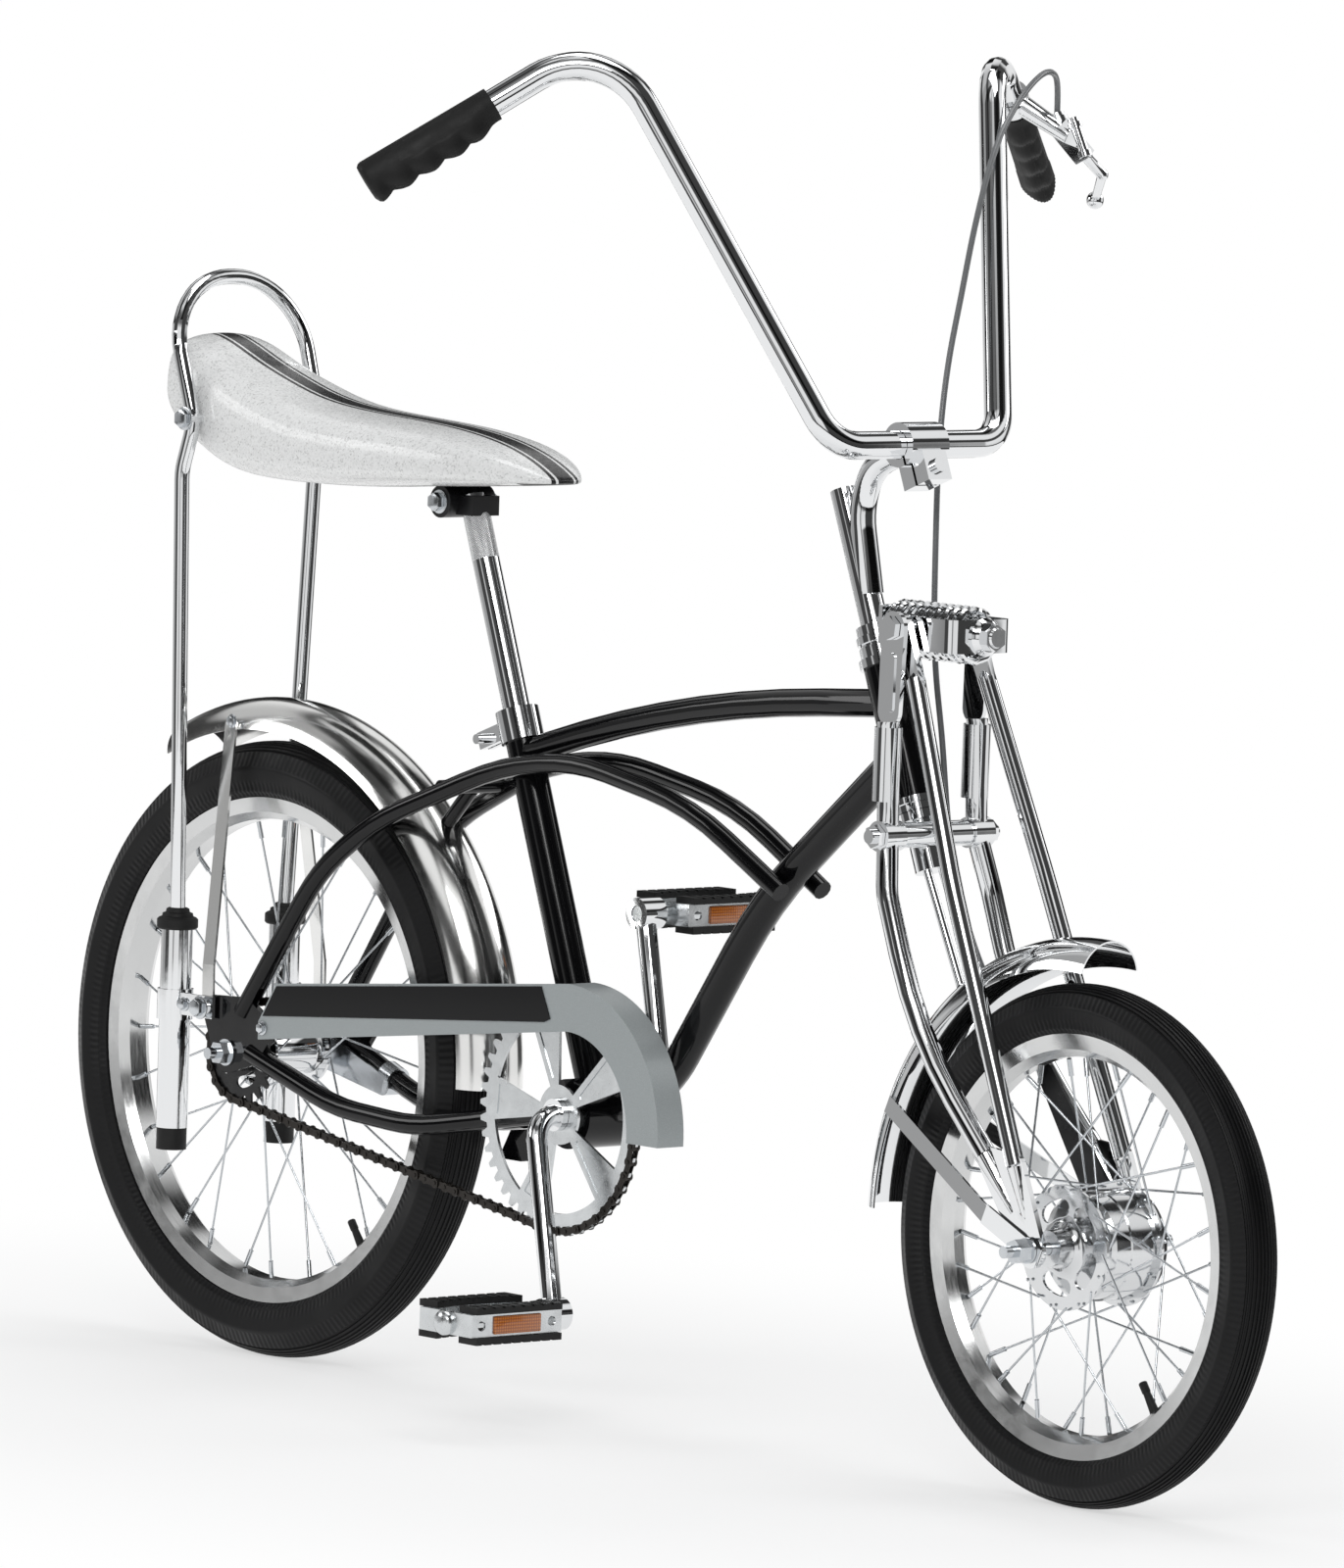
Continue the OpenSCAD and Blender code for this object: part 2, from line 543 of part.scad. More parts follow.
// One-piece crank: its path runs from the right pedal through the frame to the left pedal
eye_y = 88;
root_y = 68;
function crank_end(side, r, y) = crank_at
    + side * [r * cos(crank_drop), -y, -r * sin(crank_drop)];
module crank() color("#c8c8c8") bike() difference() {
    union() {
        bent_tube([crank_end(1, crank_l - 4, eye_y - 2), crank_end(1, 0, root_y), crank_end(-1, 0, root_y),
            crank_end(-1, crank_l - 4, eye_y - 2)], [24, 24], 17, [1, 0, 1]);
        for (side = [-1, 1]) translate(crank_end(side, crank_l, eye_y)) pin_y(13, -11, 11);
        translate(crank_at) pin_y(17, -34 - fit, -chain_line + 1.3 + fit);
        translate(crank_at) pin_y(13, -chain_line - 1.3 - fit, -chain_line - 7);
        translate(crank_at) pin_y(17, 34 + fit, 40);
    }
    for (side = [-1, 1]) translate(crank_end(side, crank_l, eye_y)) pin_y(6.4 + fit, -12, 12);
}

// Five pressed spokes widen outwards, each with a sunk panel between its raised rims
module ring_spoke(root, r0, r1, half) polygon([[r0, -root], [r0, root], [r1, half], [r1, -half]]);
module chainring() color("#d0d0d0") bike() translate(crank_at) difference() {
    plate(-chain_line, 2.6) rotate(-crank_drop) difference() {
        teeth(ring_teeth, ring_r);
        difference() {
            circle(r = ring_r - 14);
            circle(r = 24);
            for (a = [31:72:319]) rotate(a) ring_spoke(4.5, 20, ring_r - 12, 18);
        }
    }
    for (a = [31:72:319]) translate([0, -chain_line - 0.5, 0]) about_y() rotate(a - crank_drop)
        linear_extrude(3) ring_spoke(1.5, 30, ring_r - 18, 12);
    pin_y(8.5 + fit, -30, -60);
}

// Pedals are drawn about their spindle, which points away from the crank
module pedal_at(side) bike() translate(crank_end(side, crank_l, eye_y))
    rotate([0, 0, side > 0 ? 180 : 0]) children();
module pedal_cage() color("#c0c0c0") {
    pin_y(6.4, -10, 112);
    for (x = [-32, 30]) difference() {
        translate([x, 17, -9]) cube([2, 92, 18]);
        for (y = [27, 99]) translate([x - 1, y, 0]) rotate([0, 90, 0]) cylinder(r = 4, h = 4);
    }
    for (y = [17, 107]) difference() {
        translate([-30, y, -9]) cube([60, 2, 18]);
        translate([0, y, 0]) pin_y(6.4 - fit, -1, 3);
    }
    translate([0, 109, 0]) rotate([-90, 0, 0]) rotate_extrude()
        polygon([[0, 0], [10, 0], [10, 3], [8.5, 5.5], [5.5, 7.2], [0, 8]]);
}
// Four treads: their inner edges are hollowed towards the spindle, and their faces are grooved
module pedal_rubbers() color("#161616") for (x = [-1, 1], z = [-1, 1]) difference() {
    translate([x * 24.5 - 11, 19 + fit, z > 0 ? 9 + fit : -14.5 - fit]) cube([22, 88 - 2 * fit, 5.5]);
    translate([x * (13.5 + 6 - 150), 63, -20]) cylinder(r = 150, h = 40, $fn = 96);
    for (y = [28:10:98]) translate([x * 24.5 - 12, y, z > 0 ? 13.3 : -16.3]) cube([24, 3, 3]);
}
module pedal_right_cage() pedal_at(1) pedal_cage();
module pedal_right_rubbers() pedal_at(1) pedal_rubbers();
module pedal_left_cage() pedal_at(-1) pedal_cage();
module pedal_left_rubbers() pedal_at(-1) pedal_rubbers();

// Steerer, the cross tube that carries the leg pivots, and the perch behind the spring
crown_top = head_high + 33;
module fork_crown() color("#c8c8c8") {
    steering() {
        translate([0, 0, head_low - 58]) cylinder(d = 25.4, h = crown_top - head_low + 58);
        translate([0, 0, head_low - 18]) cylinder(d = 34, h = 7 - fit);
        translate([0, 0, head_high + 7 + fit]) cylinder(d = 33, h = 9);
        translate([0, 0, head_high + 15]) cylinder(d = 30, h = 5);
        translate([0, 0, head_high + 19]) cylinder(d = 34, h = 6);
        translate([0, 0, head_high + 24]) cylinder(d = 31, h = 9);
        difference() {
            translate([4, -9, head_high + 17]) cube([17, 18, 7]);
            translate([0, 0, head_high]) cylinder(r = 10, h = 40);
        }
        translate([pivot[0], 0, pivot[2]]) {
            pin_y(5.5, -66, 66);
            pin_y(10, 10 + fit - pivot[1], pivot[1] - 10 - fit);
            both_sides() translate([0, pivot[1] + 16, 0]) about_y() cylinder(r = 9.5, h = 6 - fit, $fn = 6);
        }
    }
    spring_frame() translate([spring_from - 4, -18, -12]) cube([4, 36, 30]);
}

// Fork legs: a flat head, a sleeve, the pivot's eye and a leg that sweeps forward to its end plate
module fork_legs() color("#c8c8c8") steering() difference() {
    both_sides() {
        bent_tube(leg_path, leg_bends, leg_d, [0, 1, 0]);
        rod([38.6, pivot[1], 32], [16.8, pivot[1], -21], leg_d + 4);
        translate([pivot[0], 0, pivot[2]]) pin_y(12, pivot[1] - 10, pivot[1] + 10);
        plate(44, 4) hull() {
            translate([42, 44]) circle(r = 12, $fn = 24);
            translate([yoke_pin[0], yoke_pin[2]]) circle(r = 13, $fn = 32);
        }
        plate(46.2, 2.2) hull() {
            translate([45, 46]) circle(r = 4, $fn = 24);
            translate([yoke_pin[0] - 9, yoke_pin[2] - 22]) circle(r = 4.5, $fn = 24);
        }
        plate(fork_half, fork_end_t) fork_end();
        taper(leg_path[4], fork_axle + [0, fork_half, 0], leg_d / 2 - 0.4, 52);
        taper(rod_path[2] + [0, 0, -1 - 2 * fit], fork_axle + [0, fork_half, 0], rod_d / 2 - 0.4, 44);
    }
    translate([pivot[0], 0, pivot[2]]) pin_y(5.5 + fit, -70, 70);
    translate(yoke_pin) pin_y(6 + fit, -70, 70);
    translate(fork_axle) pin_y(axle_d / 2 + fit, -70, 70);
    both_sides() rod(rod_path[1], rod_path[2] + unit(rod_path[2] - rod_path[1]), rod_d + 2 * fit);
}
module fork_end() hull() {
    translate([fork_offset - 26, 80 - fork_drop]) circle(r = 9.5, $fn = 24);
    translate([fork_offset + 4, 66 - fork_drop]) circle(r = 8.5, $fn = 24);
    translate([fork_axle[0], fork_axle[2]]) circle(r = 14, $fn = 32);
}
// The pressed ridge that runs from a tube's end into the fork's end plate
module taper(a, b, r, l) along(a, unit(b - a)) cylinder(r1 = r, r2 = r / 3, h = l);

// Straight rods from the fork ends up to flat tabs on the spring's yoke
module fork_rods() color("#c8c8c8") steering() difference() {
    both_sides() {
        bent_tube(rod_path, rod_bends, rod_d, [0, 1, 0]);
        plate(36.6, 6) hull() {
            translate([70.5, 56]) circle(r = 7, $fn = 24);
            translate([yoke_pin[0], yoke_pin[2]]) circle(r = 10, $fn = 24);
        }
        along(rod_path[0], unit(rod_path[0] - rod_path[1])) cylinder(d1 = rod_d - 1, d2 = rod_d / 2, h = 5);
    }
    translate(yoke_pin) pin_y(6 + fit, 20, 60);
    translate(yoke_pin) pin_y(6 + fit, -20, -60);
}

// The spring lies level, from the perch forward to the yoke, in a level frame of its own
spring_from = 28;
spring_to = spring_from + 94;
yoke_y = spring_d / 2 + 4;
module spring_frame() steering() translate([0, 0, head_high + 34]) rotate([0, head_lean, 0]) children();
module fork_spring() color("#c8c8c8") spring_frame() {
    coil_r = (spring_d - spring_wire) / 2;
    coil_l = spring_to - spring_from - 2 * fit - spring_wire;
    coil = [for (a = [0:30:360 * spring_turns])
        [spring_from + fit + spring_wire / 2 + coil_l * a / 360 / spring_turns,
            coil_r * cos(a), coil_r * sin(a)]];
    sweep(coil, spring_wire / 2, [1, 0, 0], 8);
    translate([spring_from + fit, 0, 0]) rotate([0, 90, 0]) cylinder(r = 8, h = 94 - 2 * fit);
    translate([spring_from + fit, 0, 0]) rotate([0, 90, 0]) cylinder(r = coil_r - 2, h = 3);
}
module spring_yoke() color("#b8b8b8") {
    spring_frame() {
        translate([0, 0, -13]) linear_extrude(26) difference() {
            yoke_plan(spring_to + 4, yoke_y + 4, 11.5);
            translate([-1, 0]) yoke_plan(spring_to + 1, yoke_y, 7.5);
        }
        translate([spring_to + 3.5, 0, 0]) rotate([0, 90, 0]) rotate_extrude()
            polygon([[0, 0], [15, 0], [15, 2.5], [13, 5.5], [11.5, 7], [0, 7]]);
        translate([spring_to + 10, 0, 0]) rotate([0, 90, 0]) cylinder(r = 10.5, h = 8, $fn = 6);
        translate([spring_to + 17, 0, 0]) rotate([0, 90, 0]) cylinder(r1 = 8.5, r2 = 7, h = 3);
    }
    steering() translate(yoke_pin) both_sides() {
        pin_y(6, yoke_y + 2, 48);
        translate([0, 51.5, 0]) about_y() cylinder(r = 9.5, h = 5, $fn = 6);
    }
}
// The strap seen from above, from its open rear end to the round corners at its front
module yoke_plan(front, half, r) hull() {
    translate([52, -half]) square([1, 2 * half]);
    for (y = [-1, 1]) translate([front - r, y * (half - r)]) circle(r = r, $fn = 40);
}

module front_fender() color("#d0d0d0") {
    front_wheel() about_y() rotate(64) rotate_extrude(angle = 92)
        fender_arch(front_r + 35, 30, front_r + 11);
    steering() both_sides() {
        stay_y = fork_half + fork_end_t / 2 + fit + 1;
        difference() {
            strip([fork_axle[0] + 8, stay_y, fork_axle[2] - 9], [36, stay_y, fork_axle[2] + 40], 16, 2);
            translate(fork_axle) pin_y(axle_d / 2 + fit, 50, 70);
        }
        strip([37, stay_y, fork_axle[2] + 39], [-75, 29.8, fork_axle[2] + 158], 14, 2);
        difference() {
            rod([4, 8, head_low - 58 - fit], [12, 8, -175], 7);
            translate(fork_axle) pin_y(front_r + 33.8, 0, 30);
        }
    }
}

module front_axle() color("#c8c8c8") front_wheel() {
    pin_y(axle_d / 2, -86, 86);
    both_sides() {
        face = fork_half + fork_end_t / 2 + 2 + 2 * fit;
        pin_y(10, face, face + 2);
        translate([0, face + 15, 0]) about_y() cylinder(r = 9.5, h = 13, $fn = 6);
    }
}

// The left brake plate closes the drum, and its arm reaches up beside the left leg
module brake_plate() color("#1a1a1a") front_wheel() difference() {
    union() {
        pin_y(42, 41 + fit, 45);
        pin_y(12, 44, fork_half - fork_end_t / 2 - fit);
        plate(43.4, 2.8) hull() {
            translate([-10, 10]) circle(r = 16, $fn = 24);
            translate([-46, 148]) circle(r = 9, $fn = 24);
        }
    }
    pin_y(axle_d / 2 + fit, 30, 70);
}

// Stem: a post in the steerer, and an arm that curves forward to the handlebar's clamp
module stem() color("#c8c8c8") steering() difference() {
    union() {
        translate([0, 0, crown_top + fit]) cylinder(d = stem_d, h = 236 - crown_top);
        bent_tube([[3, 0, 150], [14, 0, bar_rise - 28], [38, 0, bar_rise], [bar_reach - 8, 0, bar_rise]],
            [60, 36], 21, [0, 1, 0]);
        translate(bar_mid) pin_y(17.5, -19, 19);
        translate([bar_reach - 12, -12, bar_rise - 34]) cube([30, 24, 24]);
        translate([bar_reach + 18, 0, bar_rise - 23]) rotate([0, 90, 0]) cylinder(r = 6, h = 4);
    }
    translate(bar_mid) pin_y(bar_d / 2 + 0.1, -30, 30);
    translate([bar_reach + 2, -20, bar_rise - 40]) cube([2.4, 40, 34]);
    translate([0, 0, 222]) cylinder(d = stem_d - 4, h = 30);
}

function flip(p) = [p[0], -p[1], p[2]];
module handlebar() color("#c8c8c8") steering()
    bent_tube([flip(bar_end), flip(bar_shoulder), flip(bar_corner), bar_corner, bar_shoulder, bar_end],
        [60, 34, 34, 60], bar_d, [1, 0, 0]);

// Grips: a sleeve on each end of the bar, with a scalloped fin for the fingers at the front
grip_turn = 150;
fin_tip = 22.5;
module grips() color("#161616") steering() both_sides() {
    d = unit(bar_end - bar_shoulder);
    along(bar_end - d * (grip_l - 3), d) rotate(grip_turn) difference() {
        union() {
            cylinder(d1 = grip_d, d2 = grip_d + 1.6, h = grip_l);
            linear_extrude(grip_l - 1) polygon([[2, 0.6 - grip_d / 2], [fin_tip, -3], [fin_tip, 3],
                [2, grip_d / 2 - 0.6]]);
        }
        translate([0, 0, -1]) cylinder(d = bar_d + fit, h = grip_l - 2 + fit);
        for (z = [15:25:65]) translate([fin_tip + 8, 30, z]) about_y() cylinder(r = 14.5, h = 60);
        translate([fin_tip + 10, 30, 92]) about_y() cylinder(r = 16.5, h = 60);
    }
}

// Brake lever: a clamp round the bar, a tapered bracket with the cable's barrel and the hinge, and
// a slotted blade that curves down to a ball
lever_at = bar_end + [106, -61, -1];
blade_top = lever_at + [2, 14, -16];
blade_mid = lever_at + [-3, 32, -30];
lever_end = bar_end + [62, -3, -38];
module brake_lever() color("#c8c8c8") steering() {
    d = unit(bar_end - bar_shoulder);
    clamp = bar_end - d * (grip_l + 8);
    reach = unit(lever_at - clamp);
    difference() {
        union() {
            along(clamp - d * 8, d) cylinder(d = bar_d + 8, h = 14);
            along(clamp + [4, 0, -1], reach) cylinder(r1 = 9, r2 = 6.5, h = norm(lever_at - clamp) - 2);
        }
        along(clamp - d * 20, d) cylinder(d = bar_d + fit, h = 50);
    }
    strip(lever_at + [0, -6, 11], lever_at + [1, 14, -17], 15, 11);
    rod(lever_at + [-2, -3, 20.6], lever_at + [0, -1, 4], 12);
    rod(lever_at + [-1.6, -2.6, 17.2], lever_at + [-1, -2, 12], 15);
    rod(lever_at + [8, 4, 14], lever_at + [8, 8, -19], 8);
    rod(lever_at + [8, 4.5, 10], lever_at + [8, 5, 6], 11);
    rod(lever_at + [8, 7.5, -14], lever_at + [8, 8, -19], 11);
    translate(blade_top) sphere(d = 10.4);
    rod(blade_top, blade_mid, 9);
    translate(blade_mid) sphere(d = 9.8);
    for (side = [-1, 1]) rod(blade_mid + [side * 2.6, 0, 0], lever_end + [side * 1.6, 0, 0], 5);
    translate(lever_end) sphere(r = 7);
}

// Brake cable: it leaves the top of the lever's bracket, arcs over the bar, drops past the
// spring and ends at the brake arm
cable_route = [[592, 285, 1050], [593, 284, 1062], [598, 279, 1074], [607, 268, 1082],
    [618, 250, 1085], [630, 228, 1080], [643, 202, 1068], [656, 172, 1046], [670, 146, 1020],
    [683, 124, 988], [694, 104, 950], [705, 86, 910], [714, 68, 870], [723, 54, 828], [731, 44, 786],
    [739, 37, 744], [744, 33, 702], [747, 31, 660], [752, 30, 618], [763, 29, 576], [771.5, 26.5, 534],
    [770, 33.5, 496], [777, 37.5, 460], [788, 41, 424], [806, 41, 394], [828, 41, 368], [850, 41, 348],
    [866, 41, 338]];
module brake_cable() color("#8a8a8a") bike() sweep(cable_route, 2.4, [0.8, 0.6, 0], 8);

module front_tyre() front_wheel() tyre(front_r, front_tyre_w, front_rim_r);
module front_rim() front_wheel() rim(front_rim_r, front_tyre_w / 2 - 8);
module front_spokes() front_wheel() spokes(front_spoke_count, 46, -22, 35, front_rim_r - rim_depth - 1, 48);
// Front hub: a pierced flange at the right, a barrel, and the stepped brake drum with the left flange
module front_hub() color("#c8c8c8") front_wheel() difference() {
    about_y() rotate_extrude() translate([axle_d / 2 + fit, 0])
        polygon([[0, 40], [9, 40], [11, 27], [13, 25], [16, 23.2], [43, 23.2], [43, 20.8], [16, 20.8],
            [13, 17], [13, 12], [19, 10.5], [33, 9], [36, 6], [36.4, -8], [37.6, -9], [37.6, -28],
            [38, -33.8], [43, -33.8], [43, -36.2], [38, -36.2], [37, -41], [0, -41]]);
    for (a = [0:72:288]) translate([0, -16, 0]) about_y() rotate(a + 18) kidney(30.5, 14, 36, 12);
}

main_frame();
twin_tubes();
chainstays();
headset_cups();
seat_collar();
seat_post();
saddle_clamp();
saddle();
sissy_bar();
damper_bodies();
damper_rubbers();
rear_fender();
chain_guard();
chain();
rear_axle();
coaster_arm();
rear_tyre();
rear_rim();
rear_spokes();
rear_hub();
rear_cog();
crank();
chainring();
pedal_right_cage();
pedal_right_rubbers();
pedal_left_cage();
pedal_left_rubbers();
fork_crown();
fork_legs();
fork_rods();
fork_spring();
spring_yoke();
front_fender();
front_axle();
brake_plate();
stem();
handlebar();
grips();
brake_lever();
brake_cable();
front_tyre();
front_rim();
front_spokes();
front_hub();
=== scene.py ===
import math

import bmesh
import bpy
from mathutils import Matrix, Vector


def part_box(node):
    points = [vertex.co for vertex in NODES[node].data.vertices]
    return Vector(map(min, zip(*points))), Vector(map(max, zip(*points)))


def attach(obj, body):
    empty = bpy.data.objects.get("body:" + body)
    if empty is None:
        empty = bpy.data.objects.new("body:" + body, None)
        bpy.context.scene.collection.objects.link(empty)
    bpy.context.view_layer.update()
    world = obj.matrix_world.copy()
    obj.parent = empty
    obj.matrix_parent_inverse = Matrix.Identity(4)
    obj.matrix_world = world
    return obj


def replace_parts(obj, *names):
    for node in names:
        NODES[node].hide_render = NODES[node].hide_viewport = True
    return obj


# Chopper bicycle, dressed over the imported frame. Lengths are in metres: +X is forward, +Y is
# to the rider's left, +Z is up, and the origin is on top of the saddle, 786 mm above the floor.
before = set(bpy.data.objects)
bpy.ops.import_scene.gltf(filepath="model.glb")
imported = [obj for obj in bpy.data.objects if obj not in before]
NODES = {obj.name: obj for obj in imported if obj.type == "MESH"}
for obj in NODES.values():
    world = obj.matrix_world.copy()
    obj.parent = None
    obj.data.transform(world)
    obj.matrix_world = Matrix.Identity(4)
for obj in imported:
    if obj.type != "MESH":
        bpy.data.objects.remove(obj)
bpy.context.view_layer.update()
GROUND = -0.786

# Camera: a long lens ahead and to the right of the bicycle, a little above the saddle, tilted
# slightly down. It stands where the photograph was taken from.
YAW, PITCH, ROLL = 0.8559965, 0.0827626, 0.0322273
ahead = Vector((-math.sin(YAW) * math.cos(PITCH), math.cos(YAW) * math.cos(PITCH), -math.sin(PITCH)))
right = ahead.cross(Vector((0, 0, 1))).normalized()
above = right.cross(ahead)
lens_x = right * math.cos(ROLL) + above * math.sin(ROLL)
lens_y = above * math.cos(ROLL) - right * math.sin(ROLL)
lens = bpy.data.cameras.new("studio_camera")
lens.sensor_fit = "HORIZONTAL"
lens.sensor_width = 36.0
lens.lens = 36.0 * 12492.28 / 1371.0
lens.clip_start, lens.clip_end = 0.5, 100.0
camera = bpy.data.objects.new("studio_camera", lens)
turned = Matrix((lens_x, lens_y, -ahead)).transposed().to_4x4()
camera.matrix_world = Matrix.Translation((7.6517965, -6.3293143, 0.5281306)) @ turned
scene = bpy.context.scene
scene.collection.objects.link(camera)
scene.camera = camera
scene.view_settings.view_transform = "Standard"


# Studio: a white room with softboxes. Straight looks and see-through rays find plain white;
# bright metal finds softboxes with dark gaps between them, which draw its streaks.
def nodes_of(material_or_world):
    material_or_world.use_nodes = True
    tree = material_or_world.node_tree
    tree.nodes.clear()

    def node(kind, values=(), **props):
        made = tree.nodes.new("ShaderNode" + kind)
        for key, value in props.items():
            setattr(made, key, value)
        for key, value in dict(values).items():
            made.inputs[key].default_value = value
        return made

    return node, tree.links.new


def ramp(node, stops, mode="LINEAR"):
    made = node("ValToRGB")
    bar = made.color_ramp
    bar.interpolation = mode
    bar.elements[0].position, bar.elements[1].position = stops[0][0], stops[-1][0]
    for place, _ in stops[1:-1]:
        bar.elements.new(place)
    for stop, (_, shade) in zip(bar.elements, stops):
        stop.color = (*shade, 1) if isinstance(shade, tuple) else (shade, shade, shade, 1)
    return made


room = bpy.data.worlds.new("studio_room")
scene.world = room
node, link = nodes_of(room)
place = node("TexCoord")
around = node("TexGradient", gradient_type="RADIAL")
split = node("SeparateXYZ")
boxes = ramp(node, [(0.00, 0.6), (0.05, 0.6), (0.06, 0.40), (0.125, 0.40), (0.14, 0.02), (0.215, 0.02),
    (0.23, 1.0), (0.30, 1.0), (0.31, 0.2), (0.325, 0.2), (0.335, 0.95), (0.425, 1.0), (0.437, 0.01),
    (0.615, 0.01), (0.63, 1.0), (0.715, 0.95), (0.73, 0.02), (0.80, 0.02), (0.815, 0.9), (0.87, 1.0),
    (0.88, 0.05), (0.92, 0.05), (0.93, 1.0), (0.97, 0.7), (1.0, 0.6)])
height = node("MapRange", {"From Min": -1.0, "From Max": 1.0})
bands = ramp(node, [(0.0, 0.75), (0.30, 0.80), (0.345, 0.10), (0.395, 0.08), (0.425, 0.90), (0.58, 1.0),
    (0.61, 0.08), (0.70, 0.05), (0.73, 0.95), (0.86, 1.0), (0.89, 0.15), (0.93, 0.15), (0.96, 0.9),
    (1.0, 0.9)])
streaks = node("MixRGB", {"Fac": 0.95}, blend_type="MULTIPLY")
rays = node("LightPath")
shine = node("Background", {"Strength": 0.95})
glow = node("Background", {"Color": (0.80, 0.81, 0.82, 1), "Strength": 0.55})
white = node("Background", {"Color": (1, 1, 1, 1), "Strength": 1.0})
glossy = node("MixShader")
straight = node("MixShader")
clear = node("MixShader")
out = node("OutputWorld")
link(place.outputs["Generated"], around.inputs["Vector"])
link(place.outputs["Generated"], split.inputs["Vector"])
link(around.outputs["Fac"], boxes.inputs["Fac"])
link(split.outputs["Z"], height.inputs["Value"])
link(height.outputs["Result"], bands.inputs["Fac"])
link(bands.outputs["Color"], streaks.inputs["Color1"])
link(boxes.outputs["Color"], streaks.inputs["Color2"])
link(streaks.outputs["Color"], shine.inputs["Color"])
link(rays.outputs["Is Glossy Ray"], glossy.inputs["Fac"])
link(glow.outputs["Background"], glossy.inputs[1])
link(shine.outputs["Background"], glossy.inputs[2])
link(rays.outputs["Is Camera Ray"], straight.inputs["Fac"])
link(glossy.outputs["Shader"], straight.inputs[1])
link(white.outputs["Background"], straight.inputs[2])
link(rays.outputs["Is Transmission Ray"], clear.inputs["Fac"])
link(straight.outputs["Shader"], clear.inputs[1])
link(white.outputs["Background"], clear.inputs[2])
link(clear.outputs["Shader"], out.inputs["Surface"])


def softbox(name, at, size, power):
    lamp = bpy.data.lights.new(name, "AREA")
    lamp.shape = "RECTANGLE"
    lamp.size, lamp.size_y = size
    lamp.energy = power
    piece = bpy.data.objects.new(name, lamp)
    look = (Vector((0.35, 0, -0.35)) - Vector(at)).to_track_quat("-Z", "Y").to_matrix().to_4x4()
    piece.matrix_world = Matrix.Translation(at) @ look
    scene.collection.objects.link(piece)


softbox("softbox_key", (3.2, -3.4, 2.6), (2.4, 1.2), 62)
softbox("softbox_fill", (-3.0, -3.2, 1.6), (2.2, 1.4), 34)
softbox("softbox_top", (0.3, 0.6, 3.4), (3.0, 1.4), 42)
softbox("softbox_back", (1.0, 4.0, 1.8), (3.0, 1.2), 30)


# Floor: a pale round sweep that fades to the white of the room away from the bicycle. It is
# small enough that upright metal mirrors the softboxes behind it.
def finish(name):
    made = bpy.data.materials.new(name)
    return made, *nodes_of(made)


def done(link, node, shader):
    link(shader.outputs[0], node("OutputMaterial").inputs["Surface"])


floor_paint, node, link = finish("floor_paint")
place = node("TexCoord")
spread = node("Mapping", {"Location": (-0.13, 0, 0), "Scale": (0.38, 0.62, 0)})
length = node("VectorMath", operation="LENGTH")
fade = ramp(node, [(0.18, 0.60), (0.60, 1.0)], "EASE")
paint = node("BsdfDiffuse", {"Color": (0.93, 0.93, 0.93, 1)})
glow = node("Emission", {"Color": (1, 1, 1, 1), "Strength": 1.0})
mix = node("MixShader")
link(place.outputs["Object"], spread.inputs["Vector"])
link(spread.outputs["Vector"], length.inputs[0])
link(length.outputs["Value"], fade.inputs["Fac"])
link(fade.outputs["Color"], mix.inputs["Fac"])
link(paint.outputs["BSDF"], mix.inputs[1])
link(glow.outputs["Emission"], mix.inputs[2])
done(link, node, mix)
mesh = bpy.data.meshes.new("studio_floor")
form = bmesh.new()
bmesh.ops.create_circle(form, cap_ends=True, radius=3.2, segments=96)
bmesh.ops.translate(form, verts=form.verts, vec=(0, 0, GROUND))
form.to_mesh(mesh)
form.free()
mesh.materials.append(floor_paint)
floor = bpy.data.objects.new("studio_floor", mesh)
scene.collection.objects.link(floor)


# Frame: brazed steel tubes under a deep gloss black. A finish is a plain shader whose grain
# and mottle come from noise on the piece's own coordinates.
def shaded(name, color, metallic, rough, grain=(0, 0, 0), mottle=(0, 0), speed=(1, 1, 1), **more):
    """grain is (scale, bump strength, bump depth); mottle is (scale, change of roughness)."""
    made, node, link = finish(name)
    values = {"Base Color": (*color, 1), "Metallic": metallic, "Roughness": rough}
    values.update({key.replace("_", " "): value for key, value in more.items()})
    shader = node("BsdfPrincipled", values)
    place = node("TexCoord")
    if mottle[0]:
        spots = node("TexNoise", {"Scale": mottle[0], "Detail": 4.0, "Roughness": 0.6})
        turn = node("Mapping", {"Scale": speed})
        spread = node("MapRange", {"From Min": 0.3, "From Max": 0.7, "To Min": max(0.02, rough - mottle[1]),
            "To Max": rough + mottle[1]})
        link(place.outputs["Object"], turn.inputs["Vector"])
        link(turn.outputs["Vector"], spots.inputs["Vector"])
        link(spots.outputs["Fac"], spread.inputs["Value"])
        link(spread.outputs["Result"], shader.inputs["Roughness"])
    if grain[0]:
        lumps = node("TexNoise", {"Scale": grain[0], "Detail": 3.0})
        bump = node("Bump", {"Strength": grain[1], "Distance": grain[2]})
        link(place.outputs["Object"], lumps.inputs["Vector"])
        link(lumps.outputs["Fac"], bump.inputs["Height"])
        link(bump.outputs["Normal"], shader.inputs["Normal"])
    done(link, node, shader)
    return made


def dress(paint, *names):
    """Gives CAD nodes a finish, and smooths their round faces without moving a point."""
    for name in names:
        piece = NODES[name]
        piece.data.materials.clear()
        piece.data.materials.append(paint)
        for face in piece.data.polygons:
            face.use_smooth = True
        weld = piece.modifiers.new("weld", "WELD")
        weld.merge_threshold = 0.00001
        split = piece.modifiers.new("crease", "EDGE_SPLIT")
        split.split_angle = math.radians(32)


